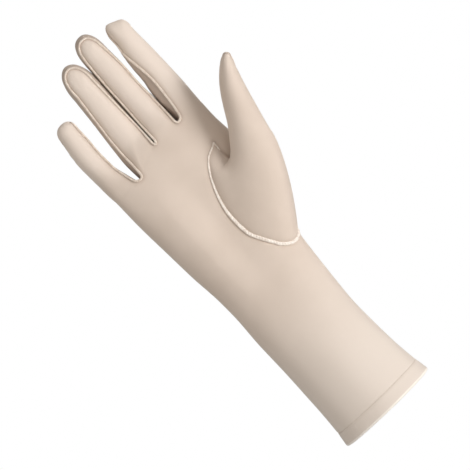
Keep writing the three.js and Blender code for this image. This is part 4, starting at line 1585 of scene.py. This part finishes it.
@dataclass
class Trank(ClothPiece):
    """Sleeve, hand and the strips of the fingers, open at the thumb."""

    hem_rows: tuple[float, ...] = (0, 0.03, 0.07, 0.12, 0.2, 0.35, 0.6)

    def build(self, hand: HandForm) -> bpy.types.Object:
        """Lays the net on the hand's form.

        Args:
            hand: the form.

        Returns:
            The net, before it gets its thickness.
        """
        cloth = Cloth()
        rows = [*self.hem_rows, *finer(range(1, WEB_ROW + 1), FINE)]
        last = len(rows) - 1

        def over_thumb(c: int, r: int) -> bool:
            """Says whether a cell lies in the thumb's hole."""
            return HOLE_FROM * FINE <= c < HOLE_TO * FINE and WRIST_ROW <= rows[r] < POINT_ROW

        for face in FACES:
            cloth.weave(
                (face.to_column - face.from_column) * FINE,
                last,
                lambda c, r: ("sleeve", face.from_column * FINE + c, r),
                lambda c, r: hand.knot(face.from_column + c / FINE, rows[r]),
                start=(face.middle - face.from_column) * FINE,
                upright=True,
                is_open=lambda c, r: over_thumb(face.from_column * FINE + c, r),
            )
        web = [hand.knot(c / FINE, WEB_ROW) for c in range(LAST_COLUMN * FINE + 1)]
        for number in range(len(SEGMENTS)):
            self.weave_strip(cloth, hand, number, last, web)
        return self.close(cloth)

    def weave_strip(
        self,
        cloth: Cloth,
        hand: HandForm,
        number: int,
        web_row: int,
        web: list[Vector],
    ) -> None:
        """Carries a segment of the hand on up its finger.

        Args:
            cloth: the trank's net.
            hand: the form.
            number: the segment.
            web_row: number of the sleeve's last row.
            web: the knots of that row.
        """
        segment = SEGMENTS[number]
        columns = segment.columns * FINE
        first = FIRST_COLUMNS[number] * FINE
        tip = len(LEVELS) - 1
        start = columns // 2
        if segment.digit is Digit.INDEX:
            start = columns if segment.side is Side.PALM else 0
        middle = FACES[number // RADIAL].middle * FINE
        low, high = sorted((first + start, middle))
        across = lengths_along(web[low : high + 1])[-1]
        if first + start < middle:
            across = -across

        def name(c: int, r: int) -> Hashable:
            """Name of a knot, shared with the sleeve at the web and across the index finger's fold.

            Args:
                c: number of its column.
                r: number of its row.

            Returns:
                The name.
            """
            if r == 0:
                return "sleeve", first + c, web_row
            if segment.digit is Digit.INDEX and c == start and r <= tip:
                return "fold", r
            return number, c, r

        def place(c: int, r: int) -> Vector:
            """Place of a knot on the strip or its rounded end.

            Args:
                c: number of its column.
                r: number of its row.

            Returns:
                The place.
            """
            if r <= tip:
                return hand.strip(number, c / FINE, LEVELS[r])
            return hand.dome(number, c / FINE, (r - tip) / DOME_ROWS)

        cloth.weave(columns, tip + DOME_ROWS, name, place, start, (across, web[first + start].z))


@dataclass
class Fourchette(ClothPiece):
    """Side wall of the fingers: one strip through the crotches and over the tips."""

    columns: int = 12

    def build(self, hand: HandForm) -> bpy.types.Object:
        """Lays the net between the palm seam and the back seam.

        Args:
            hand: the form.

        Returns:
            The net, before it gets its thickness.
        """
        lines = []
        for c in range(self.columns + 1):
            lines.append(hand.wall_line(c / self.columns, INDEX_WALL_END, LITTLE_WALL_END))
        cloth = Cloth()
        cloth.weave(
            self.columns,
            len(lines[0]) - 1,
            lambda c, r: (c, r),
            lambda c, r: lines[c][r].point,
            start=self.columns // 2,
        )
        return self.close(cloth)


@dataclass
class SetInThumb(ClothPiece):
    """Thumb with its gusset, closed along its inner side and over its tip."""

    fine: int = 3
    gusset_rows: int = 20

    def build(self, thumb: ThumbForm) -> bpy.types.Object:
        """Lays the net from the hole in the hand to the tip.

        Args:
            thumb: the form.

        Returns:
            The net, before it gets its thickness.
        """
        columns = LOOP_STEPS * self.fine
        levels = finer(THUMB_STOPS, self.fine)[1:]
        rows = self.gusset_rows + len(levels)

        def place(c: int, r: int) -> Vector:
            """Place of a knot on the gusset, a ring or the rounded tip.

            Args:
                c: number of its column.
                r: number of its row.

            Returns:
                The place.
            """
            step = c / self.fine
            if r <= self.gusset_rows:
                return thumb.gusset(step, r / self.gusset_rows)
            return thumb.point(thumb.turns.at("angle", step), levels[r - self.gusset_rows - 1])

        cloth = Cloth()
        cloth.weave(columns, rows, lambda c, r: (c, r), place, start=columns // 2)
        return self.close(cloth)


@dataclass
class CuffHem(ClothPiece):
    """Sleeve's end, turned up inside itself."""

    top: float = 10.2
    thickness: float = 2.4
    flare: float = 0.3
    fold_steps: int = 8
    outer_heights: tuple[float, ...] = (1.2, 2.5, 4.0, 6.0, 8.0, 9.0, 9.5, 9.9, 10.2)
    inner_heights: tuple[float, ...] = (9.4, 7.0, 4.5, 2.5)

    def section(self, hand: HandForm) -> list[tuple[float, float]]:
        """Section of the hem, from the inner layer's top round the fold to the groove.

        Args:
            hand: the form.

        Returns:
            An offset off the sleeve and a height for each row.
        """
        radius = self.thickness / 2
        path = [(-self.thickness, z) for z in self.inner_heights]
        for step in range(self.fold_steps):
            turn = math.pi * step / self.fold_steps
            path.append((-radius - radius * math.cos(turn), radius - radius * math.sin(turn)))
        path += [(0.0, z) for z in self.outer_heights]
        shaped = []
        for offset, z in path:
            flare = self.flare * (1 - (z / self.top) ** 2)
            groove = hand.groove_depth * bell(z - hand.hem_height, hand.groove_reach)
            shaped.append((offset + flare - groove, z))
        return shaped

    def build(self, hand: HandForm) -> bpy.types.Object:
        """Lays the net round the sleeve's end.

        Args:
            hand: the form.

        Returns:
            The net, before it gets its thickness.
        """
        section = self.section(hand)
        columns = LAST_COLUMN * FINE

        def place(c: int, r: int) -> Vector:
            """Place of a knot on the hem's section.

            Args:
                c: number of its column.
                r: number of its row.

            Returns:
                The place.
            """
            offset, z = section[r]
            angle = hand.spot(c / FINE, 0)[0]
            return hand.sleeve.point(angle, z) + hand.sleeve.normal(angle, z) * offset

        cloth = Cloth()
        rows = len(section) - 1
        cloth.weave(columns, rows, lambda c, r: (c % columns, r), place, start=HOLE_MIDDLE * FINE)
        return cloth.piece(self.name)

    def stitch_line(self, hand: HandForm) -> list[SeamPoint]:
        """Line of the hem's stitching, in the groove.

        Args:
            hand: the form.

        Returns:
            Its places.
        """
        line = []
        z = hand.hem_height
        for c in range(LAST_COLUMN * FINE + 1):
            angle = hand.spot(c / FINE, 0)[0]
            normal = hand.sleeve.normal(angle, z)
            line.append(SeamPoint(hand.sleeve.point(angle, z) - normal * hand.groove_depth, normal))
        return line


class Frame(NamedTuple):
    """A place on a seam with its three directions."""

    point: Vector
    across: Vector
    along: Vector
    out: Vector
    size: float


def frames_along(line: Sequence[SeamPoint], pitch: float) -> list[Frame]:
    """Even places along a seam.

    Args:
        line: the seam.
        pitch: the distance between two places, about.

    Returns:
        The places, each with its directions.
    """
    lengths = lengths_along([place.point for place in line])
    count = max(2, round(lengths[-1] / pitch))
    places = []
    for number in range(count + 1):
        target = lengths[-1] * number / count
        i = min(max(bisect_right(lengths, target) - 1, 0), len(line) - 2)
        span = max(lengths[i + 1] - lengths[i], SHORTEST)
        share = (target - lengths[i]) / span
        places.append(
            SeamPoint(
                line[i].point.lerp(line[i + 1].point, share),
                line[i].normal.lerp(line[i + 1].normal, share),
                lerp(line[i].size, line[i + 1].size, share),
            )
        )
    frames = []
    for number, place in enumerate(places):
        before = places[max(number - 1, 0)].point
        after = places[min(number + 1, count)].point
        along = (after - before).normalized()
        across = along.cross(place.normal).normalized()
        frames.append(Frame(place.point, across, along, across.cross(along), place.size))
    return frames


class Template(NamedTuple):
    """Shape that repeats along a seam: its points and faces."""

    points: list[Vector]
    faces: list[list[int]]

    def lay(
        self,
        points: list[Vector],
        faces: list[list[int]],
        move: Callable[[Vector], Vector],
    ) -> None:
        """Adds a copy of the shape to a mesh.

        Args:
            points: the mesh's points.
            faces: the mesh's faces.
            move: gives the place of each of the shape's points.
        """
        first = len(points)
        points += [move(point) for point in self.points]
        faces += [[first + corner for corner in face] for face in self.faces]


def take_template(piece: bpy.types.Object) -> Template:
    """Takes the shape of a modelled piece, and removes the piece.

    Args:
        piece: the piece.

    Returns:
        Its shape.
    """
    points = [vertex.co.copy() for vertex in piece.data.vertices]
    faces = [list(face.vertices) for face in piece.data.polygons]
    bpy.data.objects.remove(piece)
    return Template(points, faces)


@dataclass
class Overlock:
    """Overlocked seam: a padded ridge wrapped in threads."""

    name: str
    node: str
    half_width: float = 0.78
    height: float = 0.66
    lift: float = 0.15
    sink: float = 0.3
    sides: int = 10
    ridge_step: float = 0.9
    pitch: float = 1.35
    thread: float = 0.21
    spread: float = 2.6
    arch_width: float = 0.7
    arch_height: float = 0.59
    arch_sides: int = 6
    arch_steps: int = 7
    arch_turn: float = math.radians(260)
    slant: float = 0.6
    smooth_angle: float = math.radians(60)

    def arch(self) -> Template:
        """Models one wrap of thread, spun over the ridge and leaned along it.

        Returns:
            The shape of the wrap.
        """
        bpy.ops.object.select_all(action="DESELECT")
        bpy.ops.mesh.primitive_circle_add(
            vertices=self.arch_sides,
            radius=self.thread,
            location=(1, 0, 0),
        )
        bpy.ops.object.transform_apply(location=True, rotation=True, scale=True)
        with editing():
            bpy.ops.mesh.spin(
                steps=self.arch_steps,
                angle=self.arch_turn,
                center=(0, 0, 0),
                axis=(0, -1, 0),
            )
            bpy.ops.mesh.select_all(action="SELECT")
            bpy.ops.mesh.fill_holes(sides=self.arch_sides)
            bpy.ops.mesh.normals_make_consistent(inside=False)
        ring = take_template(bpy.context.active_object)
        sunk = (self.arch_turn - math.pi) / 2
        points = []
        for corner in ring.points:
            radius = math.hypot(corner.x, corner.z)
            turn = math.atan2(corner.z, corner.x) - sunk
            width = self.arch_width + (radius - 1)
            height = self.arch_height + (radius - 1)
            across = width * math.cos(turn)
            along = corner.y * self.spread + self.slant * math.cos(turn)
            points.append(Vector((across, along, height * math.sin(turn))))
        return Template(points, ring.faces)

    def raised(self, frame: Frame, height: float) -> Vector:
        """Step out of the cloth to a height on the seam, which sits deeper where it is finer."""
        return frame.out * ((self.lift + height) * frame.size - self.sink * (1 - frame.size))

    def wrapped(self, frame: Frame, point: Vector) -> Vector:
        """Place of a point of a wrap at a place on the seam."""
        flat = (frame.across * point.x + frame.along * point.y) * frame.size
        return frame.point + flat + self.raised(frame, point.z)

    def build(self, line: Sequence[SeamPoint]) -> bpy.types.Object:
        """Sweeps the ridge along a seam and wraps it.

        Args:
            line: the seam.

        Returns:
            The piece.
        """
        points: list[Vector] = []
        faces: list[list[int]] = []
        frames = frames_along(line, self.ridge_step)
        for frame in frames:
            for side in range(self.sides):
                turn = 2 * math.pi * side / self.sides
                across = frame.across * (self.half_width * math.cos(turn) * frame.size)
                points.append(frame.point + across + self.raised(frame, self.height * math.sin(turn)))
        for ring in range(len(frames) - 1):
            for side in range(self.sides):
                here = ring * self.sides + side
                beside = ring * self.sides + (side + 1) % self.sides
                faces.append([here, beside, beside + self.sides, here + self.sides])
        faces.append(list(range(self.sides))[::-1])
        faces.append([len(points) - self.sides + side for side in range(self.sides)])
        wrap = self.arch()
        for frame in frames_along(line, self.pitch):
            wrap.lay(points, faces, lambda point: self.wrapped(frame, point))
        return new_piece(self.name, points, faces)

    def dress(self, piece: bpy.types.Object, thread: bpy.types.Material) -> None:
        """Gives the seam its finish and its place on the frame.

        Args:
            piece: the seam.
            thread: its material.
        """
        select_only(piece)
        with editing():
            bpy.ops.mesh.normals_make_consistent(inside=False)
        bpy.ops.object.shade_smooth_by_angle(angle=self.smooth_angle)
        piece.data.materials.append(thread)
        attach(piece, BODY)
        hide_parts(self.node)


@dataclass
class HemStitching:
    """Row of short stitches that holds the hem."""

    name: str
    pitch: float = 2.5
    length: float = 1.7
    radius: float = 0.22
    lift: float = 0.02
    segments: int = 6
    rings: int = 4

    def stitch(self) -> Template:
        """Models one stitch, a ball drawn out along the groove.

        Returns:
            The shape of the stitch.
        """
        bpy.ops.object.select_all(action="DESELECT")
        bpy.ops.mesh.primitive_uv_sphere_add(
            segments=self.segments,
            ring_count=self.rings,
            radius=self.radius,
        )
        with editing():
            bpy.ops.transform.resize(value=(1, self.length / (2 * self.radius), 1))
        return take_template(bpy.context.active_object)

    def sewn(self, frame: Frame, point: Vector) -> Vector:
        """Place of a point of a stitch at a place in the groove."""
        out = frame.out * (self.lift + point.z)
        return frame.point + frame.across * point.x + frame.along * point.y + out

    def build(self, line: Sequence[SeamPoint], thread: bpy.types.Material) -> bpy.types.Object:
        """Lays the stitches in the groove and dresses them.

        Args:
            line: the groove.
            thread: the material.

        Returns:
            The piece.
        """
        points: list[Vector] = []
        faces: list[list[int]] = []
        shape = self.stitch()
        for frame in frames_along(line, self.pitch)[:-1]:
            shape.lay(points, faces, lambda point: self.sewn(frame, point))
        piece = new_piece(self.name, points, faces)
        select_only(piece)
        bpy.ops.object.shade_smooth()
        piece.data.materials.append(thread)
        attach(piece, BODY)
        return piece


class NodeSheet:
    """Node tree of one material."""

    MIX_INPUTS = (0, 6, 7)  # share and two colours of a mix of colours
    MIX_RESULT = 2

    def __init__(self, name: str) -> None:
        """Starts an empty tree.

        Args:
            name: the material's name.
        """
        self.material = bpy.data.materials.new(name)
        self.material.use_nodes = True
        self.tree = self.material.node_tree
        self.tree.nodes.clear()

    def add(self, kind: str, **settings: str) -> bpy.types.Node:
        """Adds a node and sets its properties.

        Args:
            kind: type of the node.
            settings: its properties.

        Returns:
            The node.
        """
        node = self.tree.nodes.new(kind)
        for name, value in settings.items():
            setattr(node, name, value)
        return node

    def feed(self, node: bpy.types.Node, **inputs: Value) -> bpy.types.Node:
        """Sets or links a node's inputs, by names with underscores for spaces.

        Args:
            node: the node.
            inputs: numbers, colours or other nodes' outputs.

        Returns:
            The node.
        """
        for name, value in inputs.items():
            self.plug(node.inputs[name.replace("_", " ")], value)
        return node

    def plug(self, socket: bpy.types.NodeSocket, value: Value) -> None:
        """Sets or links one input.

        Args:
            socket: the input.
            value: a number, a colour or another node's output.
        """
        if isinstance(value, bpy.types.NodeSocket):
            self.tree.links.new(value, socket)
        else:
            socket.default_value = value

    def surface(self) -> bpy.types.Node:
        """Adds the surface's shader and the material's output.

        Returns:
            The shader.
        """
        shader = self.add("ShaderNodeBsdfPrincipled")
        output = self.add("ShaderNodeOutputMaterial")
        self.feed(output, Surface=shader.outputs[0])
        return shader

    def math(self, operation: str, *values: Value) -> bpy.types.NodeSocket:
        """Adds a sum of numbers or sockets and gives its result.

        Args:
            operation: name of the sum.
            values: the numbers or sockets.

        Returns:
            The result.
        """
        node = self.add("ShaderNodeMath", operation=operation)
        for number, value in enumerate(values):
            self.plug(node.inputs[number], value)
        return node.outputs[0]

    def mix(self, share: Value, first: Value, last: Value) -> bpy.types.NodeSocket:
        """Adds a mix of two colours.

        Args:
            share: share of the last colour.
            first: the first colour.
            last: the last colour.

        Returns:
            The mixed colour.
        """
        node = self.add("ShaderNodeMix", data_type="RGBA")
        for number, value in zip(self.MIX_INPUTS, (share, first, last)):
            self.plug(node.inputs[number], value)
        return node.outputs[self.MIX_RESULT]

    def rise(self, value: Value, low: float, high: float) -> bpy.types.NodeSocket:
        """Adds a smooth rise from 0 to 1.

        Args:
            value: what it follows.
            low: value at which it starts.
            high: value at which it ends.

        Returns:
            The rise.
        """
        node = self.add("ShaderNodeMapRange", interpolation_type="SMOOTHSTEP")
        self.feed(node, Value=value, From_Min=low, From_Max=high)
        return node.outputs[0]


@dataclass(frozen=True)
class KnitFinish:
    """Smooth fine stretch knit with a soft sheen."""

    name: str = "stretch_knit"
    yarn: Colour = (0.735, 0.61, 0.508, 1)
    deep: Colour = (0.695, 0.572, 0.472, 1)
    pale: Colour = (0.78, 0.675, 0.58, 1)
    # paler on the fingers: partly the knit stretched thin over them, partly painted light for the even
    # frontal light the fingers get
    taut_and_lit: Colour = (0.815, 0.692, 0.589, 1)
    edge: Colour = (0.96, 0.88, 0.785, 1)
    # painted shade: darker colour in the trough beside the seams
    ditch_shade: Colour = (0.46, 0.34, 0.27, 1)
    ditch_shade_share: float = 0.55
    wale_pitch: float = 0.8
    course_pitch: float = 0.62
    leg_lean: float = 1.1
    row_share: float = 0.35
    loop_shade: tuple[float, float] = (0.08, 0.95)
    loop_polish: float = 0.1
    loop_relief: float = 0.6
    cloud_scale: float = 28.0
    cloud_detail: float = 3.0
    cloud_range: tuple[float, float] = (0.35, 0.65)
    pale_heights: tuple[float, float] = (0.13, 0.02)
    taut_and_lit_heights: tuple[float, float] = (0.222, 0.25)
    edge_heights: tuple[float, float] = (0.0017, 0.0011)
    roughness: float = 0.72
    sheen: float = 0.25
    sheen_roughness: float = 0.45
    gloss: float = 0.3
    loop_height: float = 0.00004

    def material(self) -> bpy.types.Material:
        """Makes the material from the cloth's unrolled places and the object's own coordinates.

        Returns:
            The material.
        """
        sheet = NodeSheet(self.name)
        shader = sheet.surface()
        loops = self.loops(sheet)
        place = sheet.add("ShaderNodeTexCoord").outputs["Object"]
        parts = sheet.feed(sheet.add("ShaderNodeSeparateXYZ"), Vector=place)
        height = parts.outputs["Z"]
        clouds = sheet.add("ShaderNodeTexNoise")
        sheet.feed(clouds, Vector=place, Scale=self.cloud_scale, Detail=self.cloud_detail)
        cloudy = sheet.rise(clouds.outputs["Fac"], *self.cloud_range)
        colour = sheet.mix(cloudy, self.deep, self.yarn)
        colour = sheet.mix(sheet.rise(height, *self.pale_heights), colour, self.pale)
        # fingers paler: partly stretched knit, partly painted light
        colour = sheet.mix(sheet.rise(height, *self.taut_and_lit_heights), colour, self.taut_and_lit)
        # painted shade beside the seams, darkest nearest to them
        near_seam = sheet.add("ShaderNodeAttribute", attribute_name=DITCH_SHADE_NAME).outputs["Fac"]
        colour = sheet.mix(sheet.math("MULTIPLY", near_seam, self.ditch_shade_share), colour, self.ditch_shade)
        # painted shade in the hollows between the knit's loops, darker where the loops sink
        shade = sheet.math("MULTIPLY_ADD", loops, *self.loop_shade)
        tinted = sheet.add("ShaderNodeVectorMath", operation="SCALE")
        sheet.feed(tinted, Vector=colour, Scale=shade)
        colour = sheet.mix(sheet.rise(height, *self.edge_heights), tinted.outputs[0], self.edge)
        bump = sheet.add("ShaderNodeBump")
        sheet.feed(bump, Strength=self.loop_relief, Distance=self.loop_height, Height=loops)
        sheet.feed(shader, Base_Color=colour, Normal=bump.outputs[0])
        dullest = self.roughness + self.loop_polish / 2
        rough = sheet.math("MULTIPLY_ADD", loops, -self.loop_polish, dullest)
        sheet.feed(shader, Roughness=rough)
        sheet.feed(shader, Sheen_Weight=self.sheen, Sheen_Roughness=self.sheen_roughness)
        sheet.feed(shader, Specular_IOR_Level=self.gloss)
        return sheet.material

    def loops(self, sheet: NodeSheet) -> bpy.types.NodeSocket:
        """Height of the knit's loops: pairs of leaning legs in rows along each wale.

        Args:
            sheet: the material's nodes.

        Returns:
            The height, from 0 to 1.
        """
        chart = sheet.add("ShaderNodeUVMap", uv_map=UV_NAME).outputs["UV"]
        parts = sheet.feed(sheet.add("ShaderNodeSeparateXYZ"), Vector=chart)
        wale = sheet.math("FRACT", sheet.math("DIVIDE", parts.outputs["X"], self.wale_pitch))
        arm = sheet.math("ABSOLUTE", sheet.math("SUBTRACT", wale, 0.5))
        course = sheet.math("DIVIDE", parts.outputs["Y"], self.course_pitch)
        lean = sheet.math("MULTIPLY_ADD", arm, self.leg_lean, course)
        row = sheet.math("SINE", sheet.math("MULTIPLY", lean, 2 * math.pi))
        leg = sheet.math("ABSOLUTE", sheet.math("SINE", sheet.math("MULTIPLY", wale, 2 * math.pi)))
        height = sheet.math("MULTIPLY_ADD", row, self.row_share, 1 - self.row_share)
        return sheet.math("MULTIPLY", leg, height)


@dataclass(frozen=True)
class ThreadFinish:
    """Soft overlocking thread, a shade paler than the knit."""

    name: str = "overlock_thread"
    light: Colour = (0.83, 0.72, 0.61, 1)
    deep: Colour = (0.72, 0.595, 0.49, 1)
    fleck_scale: float = 420.0
    fleck_detail: float = 2.0
    fleck_range: tuple[float, float] = (0.35, 0.6)
    fibre_scale: float = 2520.0
    fibre_relief: float = 0.5
    fibre_dullness: float = 0.1
    roughness: float = 0.8
    sheen: float = 0.35
    sheen_roughness: float = 0.5
    gloss: float = 0.25
    fibre_height: float = 0.00006

    def material(self) -> bpy.types.Material:
        """Makes the material from the object's own coordinates.

        Returns:
            The material.
        """
        sheet = NodeSheet(self.name)
        shader = sheet.surface()
        place = sheet.add("ShaderNodeTexCoord").outputs["Object"]
        flecks = sheet.add("ShaderNodeTexNoise")
        sheet.feed(flecks, Vector=place, Scale=self.fleck_scale, Detail=self.fleck_detail)
        share = sheet.rise(flecks.outputs["Fac"], *self.fleck_range)
        fibres = sheet.feed(sheet.add("ShaderNodeTexNoise"), Vector=place, Scale=self.fibre_scale)
        fibre = fibres.outputs["Fac"]
        bump = sheet.add("ShaderNodeBump")
        sheet.feed(bump, Strength=self.fibre_relief, Distance=self.fibre_height, Height=fibre)
        sheet.feed(shader, Base_Color=sheet.mix(share, self.deep, self.light), Normal=bump.outputs[0])
        glossiest = self.roughness - self.fibre_dullness / 2
        rough = sheet.math("MULTIPLY_ADD", fibre, self.fibre_dullness, glossiest)
        sheet.feed(shader, Roughness=rough)
        sheet.feed(shader, Sheen_Weight=self.sheen, Sheen_Roughness=self.sheen_roughness)
        sheet.feed(shader, Specular_IOR_Level=self.gloss)
        return sheet.material


@dataclass(frozen=True)
class Lamp:
    """A soft area lamp: its direction from the glove in the camera's terms, distance, size and power."""

    name: str
    right: float
    up: float
    near: float
    distance: float
    size: float
    power: float
    colour: tuple[float, float, float] = (1, 1, 1)


@dataclass(frozen=True)
class Studio:
    """Floor, light and camera. The glove's long axis leans to the left in the camera's view."""

    centre: tuple[float, float, float] = (0.0064, 0.0, 0.1496)
    distance: float = 2.0
    lean: float = math.radians(44)
    lens: float = 235.7
    sensor: float = 36.0
    floor_height: float = -0.3
    floor_radius: float = 1.5
    floor_thickness: float = 0.02
    floor_sides: int = 96
    floor_colour: Colour = (0.85, 0.85, 0.85, 1)
    floor_roughness: float = 0.9
    backdrop: Colour = (1, 1, 1, 1)
    ambient: float = 0.375
    ambient_colour: Colour = (1, 0.975, 0.945, 1)
    lamps: tuple[Lamp, ...] = (
        Lamp("key", 0.75, 0.4, 0.75, 1.3, 0.55, 11.5, (0.985, 1.0, 1.03)),
        Lamp("fill", -0.7, -0.5, 0.8, 1.4, 0.9, 2.8),
        Lamp("front", 0.1, 0.3, 1.0, 1.4, 0.9, 1.0),
        Lamp("back", -0.3, 0.5, -0.9, 1.4, 0.9, 2.0),
    )

    def directions(self) -> tuple[Vector, Vector, Vector]:
        """The camera's right, up and back directions.

        Returns:
            The three directions, each of length 1.
        """
        right = Vector((math.cos(self.lean), 0, -math.sin(self.lean)))
        up = Vector((math.sin(self.lean), 0, math.cos(self.lean)))
        return right, up, Vector((0, -1, 0))

    def build(self) -> None:
        """Sets up the floor, the light and the camera."""
        self.build_floor()
        self.build_world()
        for lamp in self.lamps:
            self.build_lamp(lamp)
        self.build_camera()

    def build_lamp(self, lamp: Lamp) -> None:
        """Hangs a lamp, turned to the glove.

        Args:
            lamp: the lamp.
        """
        right, up, back = self.directions()
        direction = (right * lamp.right + up * lamp.up + back * lamp.near).normalized()
        light = bpy.data.lights.new(lamp.name, "AREA")
        light.shape = "DISK"
        light.size = lamp.size
        light.energy = lamp.power
        light.color = lamp.colour
        holder = bpy.data.objects.new(lamp.name, light)
        holder.location = Vector(self.centre) + direction * lamp.distance
        holder.rotation_mode = "QUATERNION"
        holder.rotation_quaternion = direction.to_track_quat("Z", "Y")
        bpy.context.scene.collection.objects.link(holder)

    def build_camera(self) -> None:
        """Sets up the camera in front of the palm."""
        right, up, back = self.directions()
        lens = bpy.data.cameras.new("camera")
        lens.lens = self.lens
        lens.sensor_width = self.sensor
        camera = bpy.data.objects.new("camera", lens)
        turn = Matrix((right, up, back)).transposed()
        place = Matrix.Translation(Vector(self.centre) + back * self.distance)
        camera.matrix_world = place @ turn.to_4x4()
        bpy.context.scene.collection.objects.link(camera)
        bpy.context.scene.camera = camera
        bpy.context.scene.view_settings.view_transform = "Standard"

    def build_floor(self) -> None:
        """Lays the plain pale floor below the view."""
        bpy.ops.object.select_all(action="DESELECT")
        bpy.ops.mesh.primitive_cylinder_add(
            vertices=self.floor_sides,
            radius=self.floor_radius,
            depth=self.floor_thickness,
            location=(0, 0, self.floor_height - self.floor_thickness / 2),
        )
        floor = bpy.context.active_object
        floor.name = "studio_floor"
        sheet = NodeSheet("pale_floor")
        sheet.feed(sheet.surface(), Base_Color=self.floor_colour, Roughness=self.floor_roughness)
        floor.data.materials.append(sheet.material)
        floor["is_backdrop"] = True

    def build_world(self) -> None:
        """Gives the studio its even light, and a white backdrop where the camera looks past the glove."""
        world = bpy.data.worlds.new("studio")
        world.use_nodes = True
        tree = world.node_tree
        tree.nodes.clear()
        even = tree.nodes.new("ShaderNodeBackground")
        even.inputs["Strength"].default_value = self.ambient
        even.inputs["Color"].default_value = self.ambient_colour
        white = tree.nodes.new("ShaderNodeBackground")
        white.inputs["Color"].default_value = self.backdrop
        path = tree.nodes.new("ShaderNodeLightPath")
        mix = tree.nodes.new("ShaderNodeMixShader")
        output = tree.nodes.new("ShaderNodeOutputWorld")
        tree.links.new(path.outputs["Is Camera Ray"], mix.inputs[0])
        tree.links.new(even.outputs[0], mix.inputs[1])
        tree.links.new(white.outputs[0], mix.inputs[2])
        tree.links.new(mix.outputs[0], output.inputs["Surface"])
        bpy.context.scene.world = world


KNIT = KnitFinish()
# painted shade: the side walls between and round the fingers are coloured darker for the shade they lie
# in
SIDE_WALL_PAINTED_SHADE_KNIT = KnitFinish(
    "side_wall_painted_shade_knit",
    yarn=(0.52, 0.415, 0.34, 1),
    deep=(0.47, 0.37, 0.30, 1),
    taut_and_lit=(0.56, 0.455, 0.375, 1),
)
SEAM_THREAD = ThreadFinish()
PALE_THREAD = ThreadFinish(
    "pale_thread",
    light=(0.95, 0.86, 0.76, 1),
    deep=(0.82, 0.71, 0.61, 1),
)
# painted shade: thread darker than the knit, for the thumb's closing seam in shade at its tip and the
# hem's stitches in their shaded groove
PAINTED_SHADE_THREAD = ThreadFinish(
    "painted_shade_thread",
    light=(0.7, 0.59, 0.49, 1),
    deep=(0.62, 0.51, 0.42, 1),
)
PALM_SEAM = Overlock("palm_seam_overlock", "palm_seam")
BACK_SEAM = Overlock("back_seam_overlock", "back_seam")
THUMB_SEAM = Overlock(
    "thumb_seam_overlock",
    "thumb_seam",
    half_width=1.25,
    height=0.95,
    pitch=1.9,
    thread=0.36,
    arch_width=1.14,
    arch_height=0.87,
)
CLOSING_SEAM = Overlock(
    "thumb_closing_overlock",
    "thumb_closing_seam",
    half_width=0.45,
    height=0.36,
    lift=-0.12,
    pitch=1.3,
    thread=0.16,
    arch_width=0.4,
    arch_height=0.32,
)


def report(piece: bpy.types.Object) -> None:
    """Logs a piece's size."""
    area = sum(face.area for face in piece.data.polygons)
    LOG.info("%s: %d faces, %.5f square metres of surface", piece.name, len(piece.data.polygons), area)


def corners(box: Sequence[Vector]) -> list[list[float]]:
    """A box's two corners as plain numbers."""
    return [[round(value, 5) for value in corner] for corner in box]


def main() -> None:
    """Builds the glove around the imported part."""
    logging.basicConfig(level=logging.INFO, format="%(message)s")
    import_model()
    cad_box = corners(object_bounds())
    Studio().build()
    knit = KNIT.material()
    wall_painted_shade_knit = SIDE_WALL_PAINTED_SHADE_KNIT.material()
    thread = SEAM_THREAD.material()
    pale_thread = PALE_THREAD.material()
    painted_shade_thread = PAINTED_SHADE_THREAD.material()
    hand = HandForm()
    thumb = ThumbForm(hand)

    palm_line = hand.wall_line(PALM_EDGE, INDEX_SEAM_START, LITTLE_SEAM_END) + hand.ulnar_line()
    back_line = hand.wall_line(BACK_EDGE, INDEX_WALL_END, LITTLE_WALL_END)
    thumb_line = thumb.seam_line()
    closing_line = thumb.closing_line()
    seam_map = SeamMap([palm_line, back_line, thumb_line, closing_line])

    trank = Trank("trank_cloth", "trank", flat=(0.2, 0.31), area=0.05)
    fourchette = Fourchette("fourchette_cloth", "fourchette", flat=(0.014, 0.6), area=0.006)
    set_in_thumb = SetInThumb("thumb_cloth", "thumb", flat=(0.12, 0.13), area=0.011)
    hem = CuffHem("cuff_hem_cloth", "cuff_hem", flat=(0.2, 0.021), area=0.0042)
    pieces = (
        (trank, trank.build(hand), Pucker(), knit),
        (fourchette, fourchette.build(hand), Pucker(wave=0), wall_painted_shade_knit),
        (set_in_thumb, set_in_thumb.build(thumb), Pucker(), knit),
    )
    for cloth, piece, form, finish in pieces:
        seam_map.pucker(piece, form)
        cloth.finish(piece, finish)
        report(piece)
    hem_piece = hem.build(hand)
    hem.finish(hem_piece, knit)
    report(hem_piece)
    seams = (
        (PALM_SEAM, palm_line, thread),
        (BACK_SEAM, back_line, thread),
        (THUMB_SEAM, thumb_line, pale_thread),
        (CLOSING_SEAM, closing_line, painted_shade_thread),
    )
    for seam, line, finish in seams:
        piece = seam.build(line)
        seam.dress(piece, finish)
        report(piece)
    report(HemStitching("hem_stitching").build(hem.stitch_line(hand), painted_shade_thread))

    {"cad": cad_box, "visual": corners(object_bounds())}


if __name__ == "__main__":
    main()
